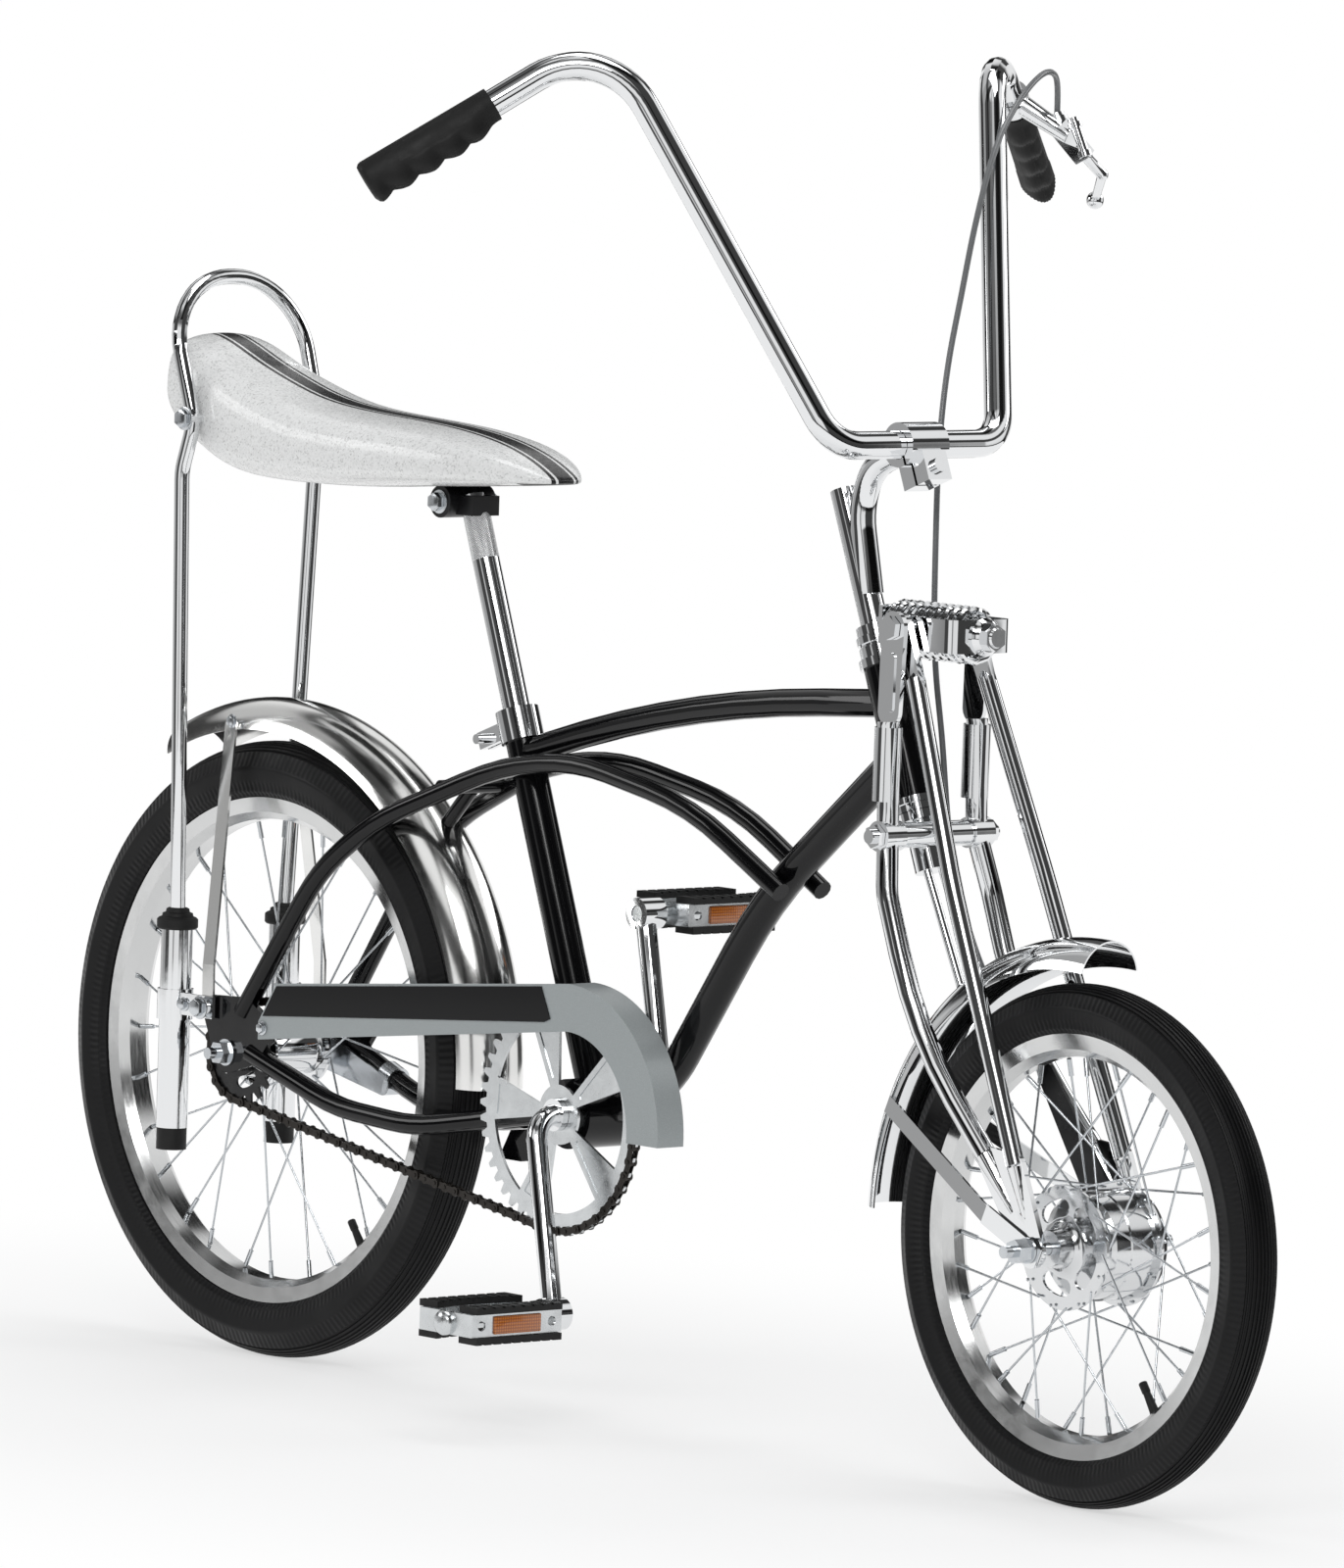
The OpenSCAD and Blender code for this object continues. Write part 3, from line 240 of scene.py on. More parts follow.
gloss_black = shaded("gloss_black_paint", (0.003, 0.003, 0.0035), 0.0, 0.10, grain=(18, 0.03, 0.0005),
    mottle=(40, 0.03), Specular_IOR_Level=0.32)
dress(gloss_black, "main_frame", "twin_tubes", "chainstays")

# Chrome on bent and pressed steel: fork, handlebar, rear bar, dampers, crank and their fittings.
# The plating is thin, so faint ripples of the steel below show in its reflections.
chrome = shaded("chrome_plate", (0.80, 0.81, 0.82), 1.0, 0.05, grain=(26, 0.05, 0.0008), mottle=(14, 0.02))
dress(chrome, "headset_cups", "seat_collar", "sissy_bar", "damper_bodies", "crank", "fork_crown",
    "fork_legs", "fork_rods", "fork_spring", "spring_yoke", "front_fender", "stem", "handlebar",
    "brake_lever", "rear_hub")

# Fasteners: zinc-plated hexagon bolts on their washers. They hold the saddle's clamp, the rear
# bar, the dampers' bands, the guard and the fenders. Each is pressed steel.
MM = 0.001
zinc = shaded("bright_zinc", (0.62, 0.645, 0.67), 1.0, 0.20, grain=(300, 0.05, 0.0003), mottle=(120, 0.06))


def ground(x, y, z):
    """A point in millimetres from the floor below the rear axle, in the part's own frame."""
    return Vector((x - 120, y, z - 786)) * MM


def facing(at, out):
    return Matrix.Translation(at) @ Vector(out).to_track_quat("Z", "Y").to_matrix().to_4x4()


def keep(form, name, body, slot, *paints, crease=35):
    mesh = bpy.data.meshes.new(name)
    form.to_mesh(mesh)
    form.free()
    for paint in paints:
        mesh.materials.append(paint)
    for face in mesh.polygons:
        face.use_smooth = True
    mesh.set_sharp_from_angle(angle=math.radians(crease))
    piece = bpy.data.objects.new(name, mesh)
    scene.collection.objects.link(piece)
    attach(piece, body)
    return piece


def disc(form, where, radius, low, high, sides=24, top=None, rim=0.0):
    """A cylinder or cone along the Z of where, from low to high, with its edges eased by rim."""
    lift = Matrix.Translation((0, 0, (low + high) / 2))
    made = bmesh.ops.create_cone(form, cap_ends=True, segments=sides, radius1=radius,
        radius2=radius if top is None else top, depth=high - low, matrix=where @ lift)
    if rim:
        edges = {edge for vert in made["verts"] for edge in vert.link_edges}
        caps = [edge for edge in edges if any(len(face.verts) > 4 for face in edge.link_faces)]
        bmesh.ops.bevel(form, geom=caps, offset=rim, offset_type="OFFSET", affect="EDGES", segments=2,
            profile=0.5, material=-1)


def bolt(form, at, out, radius, high):
    where = facing(at, out)
    disc(form, where, radius * 1.3, 0, 1.2 * MM, 20, rim=0.3 * MM)
    disc(form, where, radius, 1.2 * MM, high, 6, rim=0.7 * MM)


form = bmesh.new()
for side in (-1, 1):
    for at, radius, high in (
        (ground(210.9, 24 * side, 719.7), 7.5, 8),
        (ground(-56, 76 * side, 771), 7.5, 6),
        (ground(-24, 67.5 * side, 289), 7.5, 7),
        (ground(-50, 63.2 * side, 289), 4.5, 4.5),
        (ground(-34, 34 * side, 523), 4.5, 4),
    ):
        bolt(form, at, (0, side, 0), radius * MM, high * MM)
bolt(form, ground(50, -61.2, 279), (0, -1, 0), 4.5 * MM, 4 * MM)
keep(form, "frame_bolts", "frame", "plated_steel", zinc)


# Wheels. Each tyre is black rubber with ribs round its tread, fine cross cuts on its shoulders and
# a bead line. It is turned as one closed section, in the place of its plain solid.
def middle(node_name):
    low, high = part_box(node_name)
    return (Vector(low) + Vector(high)) / 2


def half_width(node_name):
    low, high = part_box(node_name)
    return (high[1] - low[1]) / 2


def tread_paint(name, centre, crown, shoulder, cuts):
    """Rubber whose shoulders carry cross cuts: shoulder is their nearest and furthest |y|."""
    made, node, link = finish(name)
    shader = node("BsdfPrincipled", {"Base Color": (0.0045, 0.0045, 0.005, 1), "Roughness": 0.5,
        "Specular IOR Level": 0.24})
    place = node("TexCoord")
    turn = node("Mapping", {"Location": -centre})
    split = node("SeparateXYZ")
    angle = node("Math", operation="ARCTAN2")
    side = node("Math", operation="ABSOLUTE")
    slant = node("Math", {1: 55 / crown * 0.5}, operation="MULTIPLY")
    count = node("Math", {1: cuts}, operation="MULTIPLY")
    both = node("Math", operation="ADD")
    wave = node("Math", operation="SINE")
    band = node("MapRange", {"From Min": shoulder[0], "From Max": shoulder[0] + 0.001})
    outer = node("MapRange", {"From Min": shoulder[1], "From Max": shoulder[1] + 0.001, "To Min": 1, "To Max": 0})
    fine = node("TexNoise", {"Scale": 900.0, "Detail": 3.0})
    masked = node("Math", operation="MULTIPLY")
    inner = node("Math", operation="MULTIPLY")
    total = node("Math", {1: 0.25}, operation="MULTIPLY_ADD")
    bump = node("Bump", {"Strength": 0.4, "Distance": 0.0004})
    spots = node("TexNoise", {"Scale": 22.0, "Detail": 4.0})
    rough = node("MapRange", {"From Min": 0.3, "From Max": 0.7, "To Min": 0.40, "To Max": 0.62})
    link(place.outputs["Object"], turn.inputs["Vector"])
    link(turn.outputs["Vector"], split.inputs["Vector"])
    link(split.outputs["Z"], angle.inputs[0])
    link(split.outputs["X"], angle.inputs[1])
    link(split.outputs["Y"], side.inputs[0])
    link(angle.outputs[0], count.inputs[0])
    link(side.outputs[0], slant.inputs[0])
    link(count.outputs[0], both.inputs[0])
    link(slant.outputs[0], both.inputs[1])
    link(both.outputs[0], wave.inputs[0])
    link(side.outputs[0], band.inputs["Value"])
    link(side.outputs[0], outer.inputs["Value"])
    link(wave.outputs[0], masked.inputs[0])
    link(band.outputs["Result"], masked.inputs[1])
    link(masked.outputs[0], inner.inputs[0])
    link(outer.outputs["Result"], inner.inputs[1])
    link(place.outputs["Object"], fine.inputs["Vector"])
    link(fine.outputs["Fac"], total.inputs[0])
    link(inner.outputs[0], total.inputs[2])
    link(total.outputs[0], bump.inputs["Height"])
    link(bump.outputs["Normal"], shader.inputs["Normal"])
    link(place.outputs["Object"], spots.inputs["Vector"])
    link(spots.outputs["Fac"], rough.inputs["Value"])
    link(rough.outputs["Result"], shader.inputs["Roughness"])
    done(link, node, shader)
    return made


def tyre(name, body, node_name, rim_name, ribs, cuts):
    low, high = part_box(node_name)
    crown, w = (high[2] - low[2]) / 2, half_width(node_name)
    rim_r = (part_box(rim_name)[1][2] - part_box(rim_name)[0][2]) / 2 + 0.3 * MM
    core = crown - w
    foot = math.acos((rim_r - core) / w)
    tread = math.radians(44)
    outline = []
    for step in range(-ribs, ribs + 1):
        turn = tread * step / ribs
        for edge, depth in ((-0.36, 0.0), (-0.22, 1.3 * MM), (0.22, 1.3 * MM), (0.36, 0.0)):
            place = turn + edge * tread / ribs
            outline.append((core + (w - depth) * math.cos(place), (w - depth) * math.sin(place)))
    walls = []
    for share, lift in ((0.06, 0), (0.30, 0), (0.33, 0.5), (0.38, 0.5), (0.41, 0), (0.62, 0), (0.80, 0),
            (0.82, 0.6), (0.87, 0.6), (0.89, 0), (1.0, 0)):
        place = tread * 1.12 + (foot - tread * 1.12) * share
        reach = w - (0.5 - lift) * MM
        walls.append((core + reach * math.cos(place), reach * math.sin(place)))
    outline = [(r, -y) for r, y in reversed(walls)] + outline + walls
    form = bmesh.new()
    verts = [form.verts.new((r, y, 0)) for r, y in outline]
    edges = [form.edges.new(pair) for pair in zip(verts, verts[1:] + verts[:1])]
    bmesh.ops.spin(form, geom=verts + edges, cent=(0, 0, 0), axis=(0, 1, 0), angle=math.tau, steps=144,
        use_merge=True)
    bmesh.ops.remove_doubles(form, verts=form.verts, dist=0.00001)
    bmesh.ops.recalc_face_normals(form, faces=form.faces)
    centre = middle(node_name)
    bmesh.ops.translate(form, verts=form.verts, vec=centre)
    paint = tread_paint(name + "_rubber", centre, crown, (w * 0.66, w * 0.93), cuts)
    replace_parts(keep(form, name, body, "tyre_black", paint, crease=50), node_name)


tyre("rear_tyre_tread", "rear_wheel", "rear_tyre", "rear_rim", 5, 260)
tyre("front_tyre_tread", "front_wheel", "front_tyre", "front_rim", 5, 230)

# Rims are polished alloy with a lathe-turned sheen, and the front hub is a bright pressed drum. Spokes are
# drawn steel with a head at the flange, and each wheel has a rubber valve between two spokes.
alloy = shaded("turned_alloy", (0.66, 0.665, 0.665), 1.0, 0.17, grain=(140, 0.04, 0.0003), mottle=(60, 0.05),
    speed=(1, 8, 1))
dress(alloy, "rear_rim", "front_rim")
dress(shaded("pressed_drum", (0.70, 0.71, 0.72), 1.0, 0.12, grain=(60, 0.06, 0.0006), mottle=(40, 0.06)), "front_hub")
dress(zinc, "rear_spokes", "front_spokes", "coaster_arm", "rear_axle", "front_axle")
rubber = shaded("black_rubber", (0.010, 0.010, 0.010), 0.0, 0.55, grain=(700, 0.25, 0.0002), mottle=(60, 0.10),
    Specular_IOR_Level=0.3)


def spoke_heads(form, centre, count, hole_r, right_y, left_y, swing):
    for i in range(count):
        left, outer = i % 2 == 0, i % 4 < 2
        turn = math.radians(i * 360 / count + (swing if outer else -swing))
        y = (left_y if left else right_y) + (1 if left else -1) * (4.0 if outer else -2.2)
        at = centre + Vector((hole_r * math.cos(turn), y, hole_r * math.sin(turn))) * MM
        bmesh.ops.create_icosphere(form, subdivisions=1, radius=1.5 * MM, matrix=Matrix.Translation(at))


def valve(form, centre, rim_r, turn):
    inward = Vector((-math.cos(turn), 0, -math.sin(turn)))
    where = facing(centre - inward * rim_r, inward)
    disc(form, where, 4.0 * MM, -1 * MM, 18 * MM, 12, top=3.0 * MM)
    disc(form, where, 3.4 * MM, 18 * MM, 27 * MM, 8, rim=0.6 * MM)


for wheel, count, hole_r, right_y, left_y, swing in (("rear", 28, 25, -28, 28, 38), ("front", 36, 46, -22, 35, 48)):
    form = bmesh.new()
    spoke_heads(form, middle(wheel + "_rim"), count, hole_r, right_y, left_y, swing)
    keep(form, wheel + "_spoke_heads", wheel + "_wheel", "plated_steel", zinc)
    form = bmesh.new()
    low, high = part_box(wheel + "_rim")
    valve(form, middle(wheel + "_rim"), (high[2] - low[2]) / 2 - 18 * MM, math.radians(180 / count - 60))
    keep(form, wheel + "_valve", wheel + "_wheel", "black_rubber", rubber)

# Drive: a half-inch roller chain in oiled dark steel, whose outer and inner links take turns round
# the chainring and the cog. It stands for the chain's plain bands of plate.
chain_steel = shaded("oiled_chain_steel", (0.035, 0.031, 0.028), 0.8, 0.34, grain=(400, 0.15, 0.0002),
    mottle=(150, 0.12))
pitch = 12.7
ring_r = pitch / (2 * math.sin(math.pi / 46))
cog_r = pitch / (2 * math.sin(math.pi / 20))
crank_at, axle_at = Vector((404, 0, 244)), Vector((0, 0, 254))
span = (crank_at - axle_at).length
tilt = math.atan2(10, 404)
open_by = math.asin((ring_r - cog_r) / span)
run = span * math.cos(open_by)
ring_arc = (math.pi + 2 * open_by) * ring_r
cog_arc = (math.pi - 2 * open_by) * cog_r
loop = 2 * run + ring_arc + cog_arc
links = round(loop / pitch)


def on_chain(s):
    """The point at distance s round the loop, in millimetres, with the cog's centre at the origin."""
    s %= loop
    up, down = math.pi / 2 + open_by, -math.pi / 2 - open_by
    if s < run:
        x, z = cog_r * math.cos(up) + s * math.sin(up), cog_r * math.sin(up) - s * math.cos(up)
    elif s < run + ring_arc:
        turn = up - (s - run) / ring_r
        x, z = span + ring_r * math.cos(turn), ring_r * math.sin(turn)
    elif s < 2 * run + ring_arc:
        d = s - run - ring_arc
        x, z = span + ring_r * math.cos(down) + d * math.sin(down), ring_r * math.sin(down) - d * math.cos(down)
    else:
        turn = down - (s - 2 * run - ring_arc) / cog_r
        x, z = cog_r * math.cos(turn), cog_r * math.sin(turn)
    return Matrix.Rotation(tilt, 3, "Y") @ Vector((x, 0, z)) + axle_at


def link_plate(form, here, there, y, high, thick):
    """A waisted side plate between two pins, made from two eyes bridged by a narrower web."""
    way = (there - here).normalized()
    where = Matrix((way, Vector((0, 1, 0)), way.cross(Vector((0, 1, 0))))).transposed().to_4x4()
    for at in (here, there):
        disc(form, facing(ground(at.x, y, at.z), (0, 1, 0)), high * MM, -thick / 2 * MM, thick / 2 * MM, 10)
    centre = ground((here.x + there.x) / 2, y, (here.z + there.z) / 2)
    size = Matrix.Diagonal((pitch * 0.8 * MM, thick * 0.96 * MM, high * 1.35 * MM, 1))
    bmesh.ops.create_cube(form, size=1, matrix=Matrix.Translation(centre) @ where @ size)


form = bmesh.new()
pins = [on_chain(i * loop / links) for i in range(links)]
for i, here in enumerate(pins):
    there = pins[(i + 1) % links]
    out = 3.0 if i % 2 else 1.9
    for y in (-42 - out, -42 + out):
        link_plate(form, here, there, y, 4.0, 0.9)
    where = facing(ground(here.x, -42, here.z), (0, 1, 0))
    disc(form, where, 3.6 * MM, -1.5 * MM, 1.5 * MM, 8)
    disc(form, where, 1.7 * MM, -4.0 * MM, 4.0 * MM, 6)
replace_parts(keep(form, "roller_chain", "frame", "black_steel", chain_steel), "chain")

# Chainring: pressed steel, zinc bright, with fine lines left by the press. The cog and the brake
# plate are blacked steel.
satin_black = shaded("satin_black_steel", (0.010, 0.010, 0.011), 0.2, 0.32, grain=(200, 0.10, 0.0003),
    mottle=(60, 0.10))
pressed = shaded("pressed_zinc", (0.66, 0.68, 0.69), 1.0, 0.24, grain=(180, 0.06, 0.0004), mottle=(70, 0.07))
dress(pressed, "chainring")
dress(satin_black, "rear_cog", "saddle_clamp", "brake_plate")

# Chain guard: silver grey enamel, with a gloss black panel that stands proud along its top edge.
# The enamel has a fine metallic fleck.
guard_paint, node, link = finish("guard_enamel")
place = node("TexCoord")
split = node("SeparateXYZ")
panel = node("Math", {1: -0.06115}, operation="LESS_THAN")
fleck = node("TexVoronoi", {"Scale": 1400.0})
silver = ramp(node, [(0.0, (0.30, 0.325, 0.33)), (1.0, (0.40, 0.43, 0.435))])
tint = node("MixRGB", {"Color2": (0.004, 0.004, 0.0045, 1)})
dull = node("MapRange", {"To Min": 0.30, "To Max": 0.10})
shader = node("BsdfPrincipled", {"Metallic": 0.15, "Specular IOR Level": 0.22})
link(place.outputs["Object"], split.inputs["Vector"])
link(place.outputs["Object"], fleck.inputs["Vector"])
link(split.outputs["Y"], panel.inputs[0])
link(fleck.outputs["Distance"], silver.inputs["Fac"])
link(panel.outputs[0], tint.inputs["Fac"])
link(silver.outputs["Color"], tint.inputs["Color1"])
link(tint.outputs["Color"], shader.inputs["Base Color"])
link(panel.outputs[0], dull.inputs["Value"])
link(dull.outputs["Result"], shader.inputs["Roughness"])
done(link, node, shader)
dress(guard_paint, "chain_guard")

# Pedals: plated cages with black rubber treads, and an amber reflector let into each long side.
# A reflector is moulded plastic with rows of small prisms behind a clear face.
dress(pressed, "pedal_right_cage", "pedal_left_cage")
dress(rubber, "pedal_right_rubbers", "pedal_left_rubbers", "damper_rubbers")
amber, node, link = finish("amber_reflector")
place = node("TexCoord")
turn = node("Mapping", {"Rotation": (0, 0, 0), "Scale": (420, 420, 420)})
rows = node("TexVoronoi", {"Scale": 1.0, "Randomness": 0.0}, distance="MANHATTAN")
# Painted light: the amber is painted bright at each prism's middle as a painted glint, and dark at its edges as
# painted shade in the creases between prisms.
glow = ramp(node, [(0.0, (0.80, 0.30, 0.04)), (0.5, (0.58, 0.18, 0.02)), (1.0, (0.28, 0.07, 0.008))])
bump = node("Bump", {"Strength": 0.6, "Distance": 0.0004})
shader = node("BsdfPrincipled", {"Roughness": 0.18, "Coat Weight": 0.8, "Coat Roughness": 0.04})
link(place.outputs["Object"], turn.inputs["Vector"])
link(turn.outputs["Vector"], rows.inputs["Vector"])
link(rows.outputs["Distance"], glow.inputs["Fac"])
link(rows.outputs["Distance"], bump.inputs["Height"])
link(bump.outputs["Normal"], shader.inputs["Normal"])
link(glow.outputs["Color"], shader.inputs["Base Color"])
done(link, node, shader)
for name, body, at, way in (("right", "pedal_right", ground(456.1, -151, 92.7), -1), ("left", "pedal_left", ground(351.9, 151, 395.3), 1)):
    form = bmesh.new()
    for side in (-1, 1):
        size = Matrix.Diagonal((3.0 * MM, 48 * MM, 14.5 * MM, 1))
        made = bmesh.ops.create_cube(form, size=1, matrix=Matrix.Translation(at + Vector((32.4 * side * MM, 0, 0))) @ size)
        edges = {edge for vert in made["verts"] for edge in vert.link_edges}
        bmesh.ops.bevel(form, geom=list(edges), offset=1.2 * MM, offset_type="OFFSET", affect="EDGES",
            segments=2, profile=0.5, material=-1)
    keep(form, f"pedal_{name}_reflectors", body, "pedal_metal", amber)

# Rear fender: polished sheet, drawn over a former, with long faint streaks from the buffing wheel.
polished = shaded("polished_sheet", (0.82, 0.82, 0.81), 1.0, 0.14, grain=(45, 0.05, 0.0006), mottle=(24, 0.05),
    speed=(1, 4, 1))
dress(polished, "rear_fender")

# Seat post: chrome, with a knurled band below the saddle's clamp so that the clamp can't turn.
knurled, node, link = finish("knurled_chrome")
post_lean = math.radians(20.6)
seat_top = ground(404 - 322 * math.sin(post_lean), 0, 244 + 322 * math.cos(post_lean))
place = node("TexCoord")
shift = node("VectorMath", {1: seat_top}, operation="SUBTRACT")
turn = node("Mapping", {"Rotation": (0, post_lean, 0)}, vector_type="POINT")
split = node("SeparateXYZ")
angle = node("Math", operation="ARCTAN2")
around = node("Math", {1: 36.0}, operation="MULTIPLY")
climb = node("Math", {1: 3300.0}, operation="MULTIPLY")
plus = node("Math", operation="ADD")
minus = node("Math", operation="SUBTRACT")
one, two = node("Math", operation="SINE"), node("Math", operation="SINE")
cross = node("Math", operation="MAXIMUM")
low = node("Math", {1: 0.138}, operation="GREATER_THAN")
high = node("Math", {1: 0.186}, operation="LESS_THAN")
band = node("Math", operation="MULTIPLY")
masked = node("Math", operation="MULTIPLY")
bump = node("Bump", {"Strength": 1.0, "Distance": 0.0006})
shader = node("BsdfPrincipled", {"Base Color": (0.80, 0.81, 0.82, 1), "Metallic": 1.0, "Roughness": 0.07})
link(place.outputs["Object"], shift.inputs[0])
link(shift.outputs["Vector"], turn.inputs["Vector"])
link(turn.outputs["Vector"], split.inputs["Vector"])
link(split.outputs["Y"], angle.inputs[0])
link(split.outputs["X"], angle.inputs[1])
link(angle.outputs[0], around.inputs[0])
link(split.outputs["Z"], climb.inputs[0])
for part, wave in ((plus, one), (minus, two)):
    link(around.outputs[0], part.inputs[0])
    link(climb.outputs[0], part.inputs[1])
    link(part.outputs[0], wave.inputs[0])
link(one.outputs[0], cross.inputs[0])
link(two.outputs[0], cross.inputs[1])
link(split.outputs["Z"], low.inputs[0])
link(split.outputs["Z"], high.inputs[0])
link(low.outputs[0], band.inputs[0])
link(high.outputs[0], band.inputs[1])
link(cross.outputs[0], masked.inputs[0])
link(band.outputs[0], masked.inputs[1])
link(masked.outputs[0], bump.inputs["Height"])
link(bump.outputs["Normal"], shader.inputs["Normal"])
done(link, node, shader)
dress(knurled, "seat_post")

# Saddle: foam on a pressed pan under a stretched cover of silver white vinyl with fine sparkle. A
# broad black stripe between two thin ones runs from the kicked-up tail to the tip of the nose.
vinyl, node, link = finish("sparkle_vinyl")
place = node("TexCoord")
split = node("SeparateXYZ")
side = node("Math", operation="ABSOLUTE")
across = node("Math", {1: 50.0}, operation="MULTIPLY")
stripes = ramp(node, [(0.0, 1.0), (0.395, 1.0), (0.405, 0.0), (0.515, 0.0), (0.525, 1.0), (0.70, 1.0), (0.71, 0.0),
    (1.0, 0.0)])
flakes = node("TexVoronoi", {"Scale": 760.0})
bright = node("SeparateXYZ")
sparkle = ramp(node, [(0.0, (0.56, 0.565, 0.56)), (0.12, (0.71, 0.715, 0.71)), (0.30, (0.82, 0.825, 0.82)),
    (1.0, (0.88, 0.885, 0.88))])
tint = node("MixRGB", {"Color2": (0.008, 0.008, 0.009, 1)})
grain = node("TexNoise", {"Scale": 420.0, "Detail": 5.0})
lumps = node("Math", {1: 0.5}, operation="MULTIPLY_ADD")
bump = node("Bump", {"Strength": 0.22, "Distance": 0.0003})
glint = node("MapRange", {"To Min": 0.20, "To Max": 0.48})
shader = node("BsdfPrincipled", {"Coat Weight": 0.4, "Coat Roughness": 0.10})
link(place.outputs["Object"], split.inputs["Vector"])
link(split.outputs["Y"], side.inputs[0])
link(side.outputs[0], across.inputs[0])
link(across.outputs[0], stripes.inputs["Fac"])
link(place.outputs["Object"], flakes.inputs["Vector"])
link(flakes.outputs["Color"], bright.inputs["Vector"])
link(bright.outputs["X"], sparkle.inputs["Fac"])
link(stripes.outputs["Color"], tint.inputs["Fac"])
link(sparkle.outputs["Color"], tint.inputs["Color1"])
link(tint.outputs["Color"], shader.inputs["Base Color"])
link(bright.outputs["Y"], glint.inputs["Value"])
link(glint.outputs["Result"], shader.inputs["Roughness"])
link(place.outputs["Object"], grain.inputs["Vector"])
link(grain.outputs["Fac"], lumps.inputs[0])
link(bright.outputs["Z"], lumps.inputs[2])
link(lumps.outputs[0], bump.inputs["Height"])
link(bump.outputs["Normal"], shader.inputs["Normal"])
done(link, node, shader)

# Each row of the saddle: x, half width, height of the crown, height of the lip, both from the floor.
SADDLE = ((-119, 36, 827, 792), (-115, 49, 835, 781), (-105, 57, 840, 767), (-84, 60, 836, 751), (-60, 58.5, 827, 738),
    (-38, 60.5, 818, 730), (-8, 63, 808, 725), (37, 66, 794.5, 724), (82, 67, 788, 724.5), (138, 67.5, 784.5, 726),
    (196, 64.5, 781.5, 731), (248, 58, 776, 734), (290, 47, 767, 737), (316, 35, 757.5, 739), (332, 23, 749.5, 740.5),
    (339, 12, 745, 741.5))
form = bmesh.new()
rings = []
for x, half, crown, lip in SADDLE:
    made = bmesh.ops.create_circle(form, segments=24, radius=1.0)
    waist = lip + 0.30 * (crown - lip)
    for vert in made["verts"]:
        c, s = vert.co.x, vert.co.y
        reach = math.copysign(abs(c) ** (0.86 if s > 0 else 0.42), c)
        tuck = 1 - 0.10 * max(0.0, -s) ** 2
        rise = s ** 0.52 * (crown - waist) if s > 0 else -(abs(s) ** 0.75) * (waist - lip)
        vert.co = ground(x, half * reach * tuck, waist + rise)
    rings.append([edge for edge in {e for v in made["verts"] for e in v.link_edges}])
for one, two in zip(rings, rings[1:]):
    bmesh.ops.bridge_loops(form, edges=one + two)
bmesh.ops.holes_fill(form, edges=form.edges, sides=0)
for face in [f for f in form.faces if len(f.verts) > 4]:
    bmesh.ops.poke(form, faces=[face])
bmesh.ops.recalc_face_normals(form, faces=form.faces)
form.normal_update()
for face in form.faces:
    under = face.normal.z < -0.9 and abs(face.calc_center_median().y) < 0.030
    face.material_index = 1 if under else 0
pan = shaded("saddle_pan", (0.012, 0.012, 0.012), 0.4, 0.5, grain=(90, 0.2, 0.0006), mottle=(30, 0.1))
saddle = keep(form, "saddle_cover", "frame", "saddle_vinyl", vinyl, pan, crease=180)
smooth = saddle.modifiers.new("foam", "SUBSURF")
smooth.levels = smooth.render_levels = 2
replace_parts(saddle, "saddle")

# Grips: moulded black rubber sleeves, pushed on the handlebar's ends. Fine ribs run along each one
# round a plain leaf on either side, and its lower edge has hollows for the fingers.
def finger_edge(t):
    """How far the lower edge stands from the bar's axis, t millimetres from the bar's end."""
    fade = min(1.0, max(0.0, (110 - t) / 22))
    return 13.4 + fade * (4.6 + 4.5 * abs(math.cos(math.pi * (t - 3) / 23)) ** 1.3)


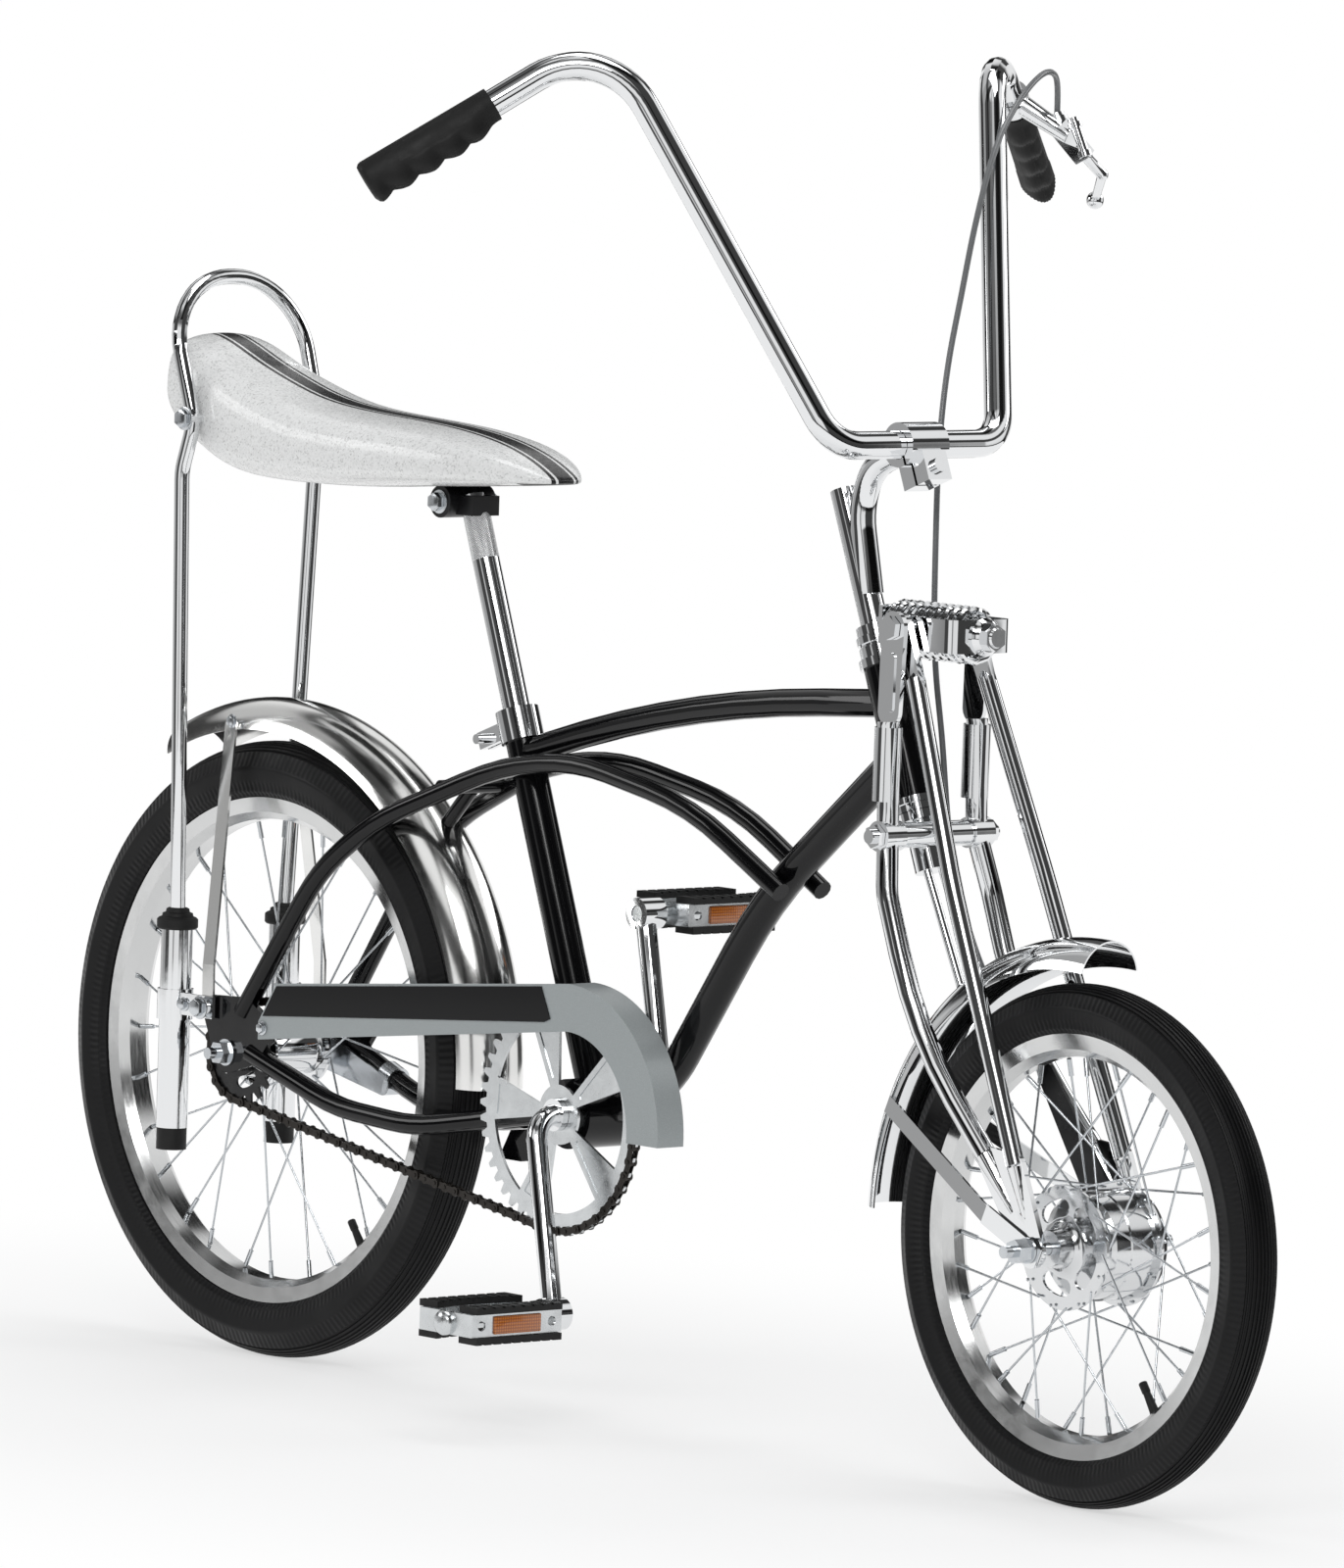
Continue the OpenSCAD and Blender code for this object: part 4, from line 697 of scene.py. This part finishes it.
form = bmesh.new()
for side in (-1, 1):
    bar_end = Vector((0.3824, 0.349 * side, 0.2062))
    along = Vector((0.4766, -0.6951 * side, 0.5382))
    down = Vector((0.68, -0.10 * side, -0.73))
    beside = along.cross(down)
    rings = []
    for step in range(59):
        t = -3 + 115 * step / 58
        sleeve = 14.1 - 0.8 * (t + 3) / 115 - max(0.0, 1 - t) ** 2 * 0.16
        made = bmesh.ops.create_circle(form, segments=72, radius=1.0)
        for i, vert in enumerate(made["verts"]):
            c, s = vert.co.x, vert.co.y
            leaf = (1 - abs(s)) / 0.2 + ((t - 60) / 38) ** 2 < 1
            reach = sleeve + (-0.3 if leaf else 0.3 * (-1) ** i)
            tip = max(0.0, finger_edge(t + 9 * abs(s)) - max(0.0, 1 - t) ** 2 * 0.3 - sleeve)
            x = c * reach + (tip * c ** 2.4 if c > 0 else 0)
            vert.co = bar_end + (along * t + down * x + beside * (s * reach)) * MM
        rings.append(list({edge for vert in made["verts"] for edge in vert.link_edges}))
    for one, two in zip(rings, rings[1:]):
        bmesh.ops.bridge_loops(form, edges=one + two)
bmesh.ops.holes_fill(form, edges=form.edges, sides=0)
bmesh.ops.recalc_face_normals(form, faces=form.faces)
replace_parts(keep(form, "rubber_grips", "fork", "black_rubber", rubber, crease=60), "grips")

# Brake cable: one steel cable in a grey sleeve. It leaves the lever's barrel, arcs over the bar,
# drops past the spring and ends at the front brake's arm. Its points are those of the solid.
sleeve = shaded("grey_cable_sleeve", (0.15, 0.155, 0.16), 0.0, 0.38, grain=(900, 0.08, 0.0001), mottle=(80, 0.06),
    Coat_Weight=0.3)
ROUTE = ((592, 285, 1050), (593, 284, 1062), (598, 279, 1074), (607, 268, 1082), (618, 250, 1085), (630, 228, 1080),
    (643, 202, 1068), (656, 172, 1046), (670, 146, 1020), (683, 124, 988), (694, 104, 950), (705, 86, 910),
    (714, 68, 870), (723, 54, 828), (731, 44, 786), (739, 37, 744), (744, 33, 702), (747, 31, 660), (752, 30, 618),
    (763, 29, 576), (771.5, 26.5, 534), (770, 33.5, 496), (777, 37.5, 460), (788, 41, 424), (806, 41, 394),
    (828, 41, 368), (850, 41, 348), (866, 41, 338))
curve = bpy.data.curves.new("brake_cable_sleeve", "CURVE")
curve.dimensions = "3D"
curve.bevel_depth = 2.4 * MM
curve.bevel_resolution = 3
curve.resolution_u = 6
curve.use_fill_caps = True
spline = curve.splines.new("NURBS")
spline.points.add(len(ROUTE) - 1)
for knot, at in zip(spline.points, ROUTE):
    knot.co = (*ground(*at), 1)
spline.order_u = 4
spline.use_endpoint_u = True
curve.materials.append(sleeve)
cable = bpy.data.objects.new("brake_cable_sleeve", curve)
scene.collection.objects.link(cable)
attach(cable, "fork")
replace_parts(cable, "brake_cable")
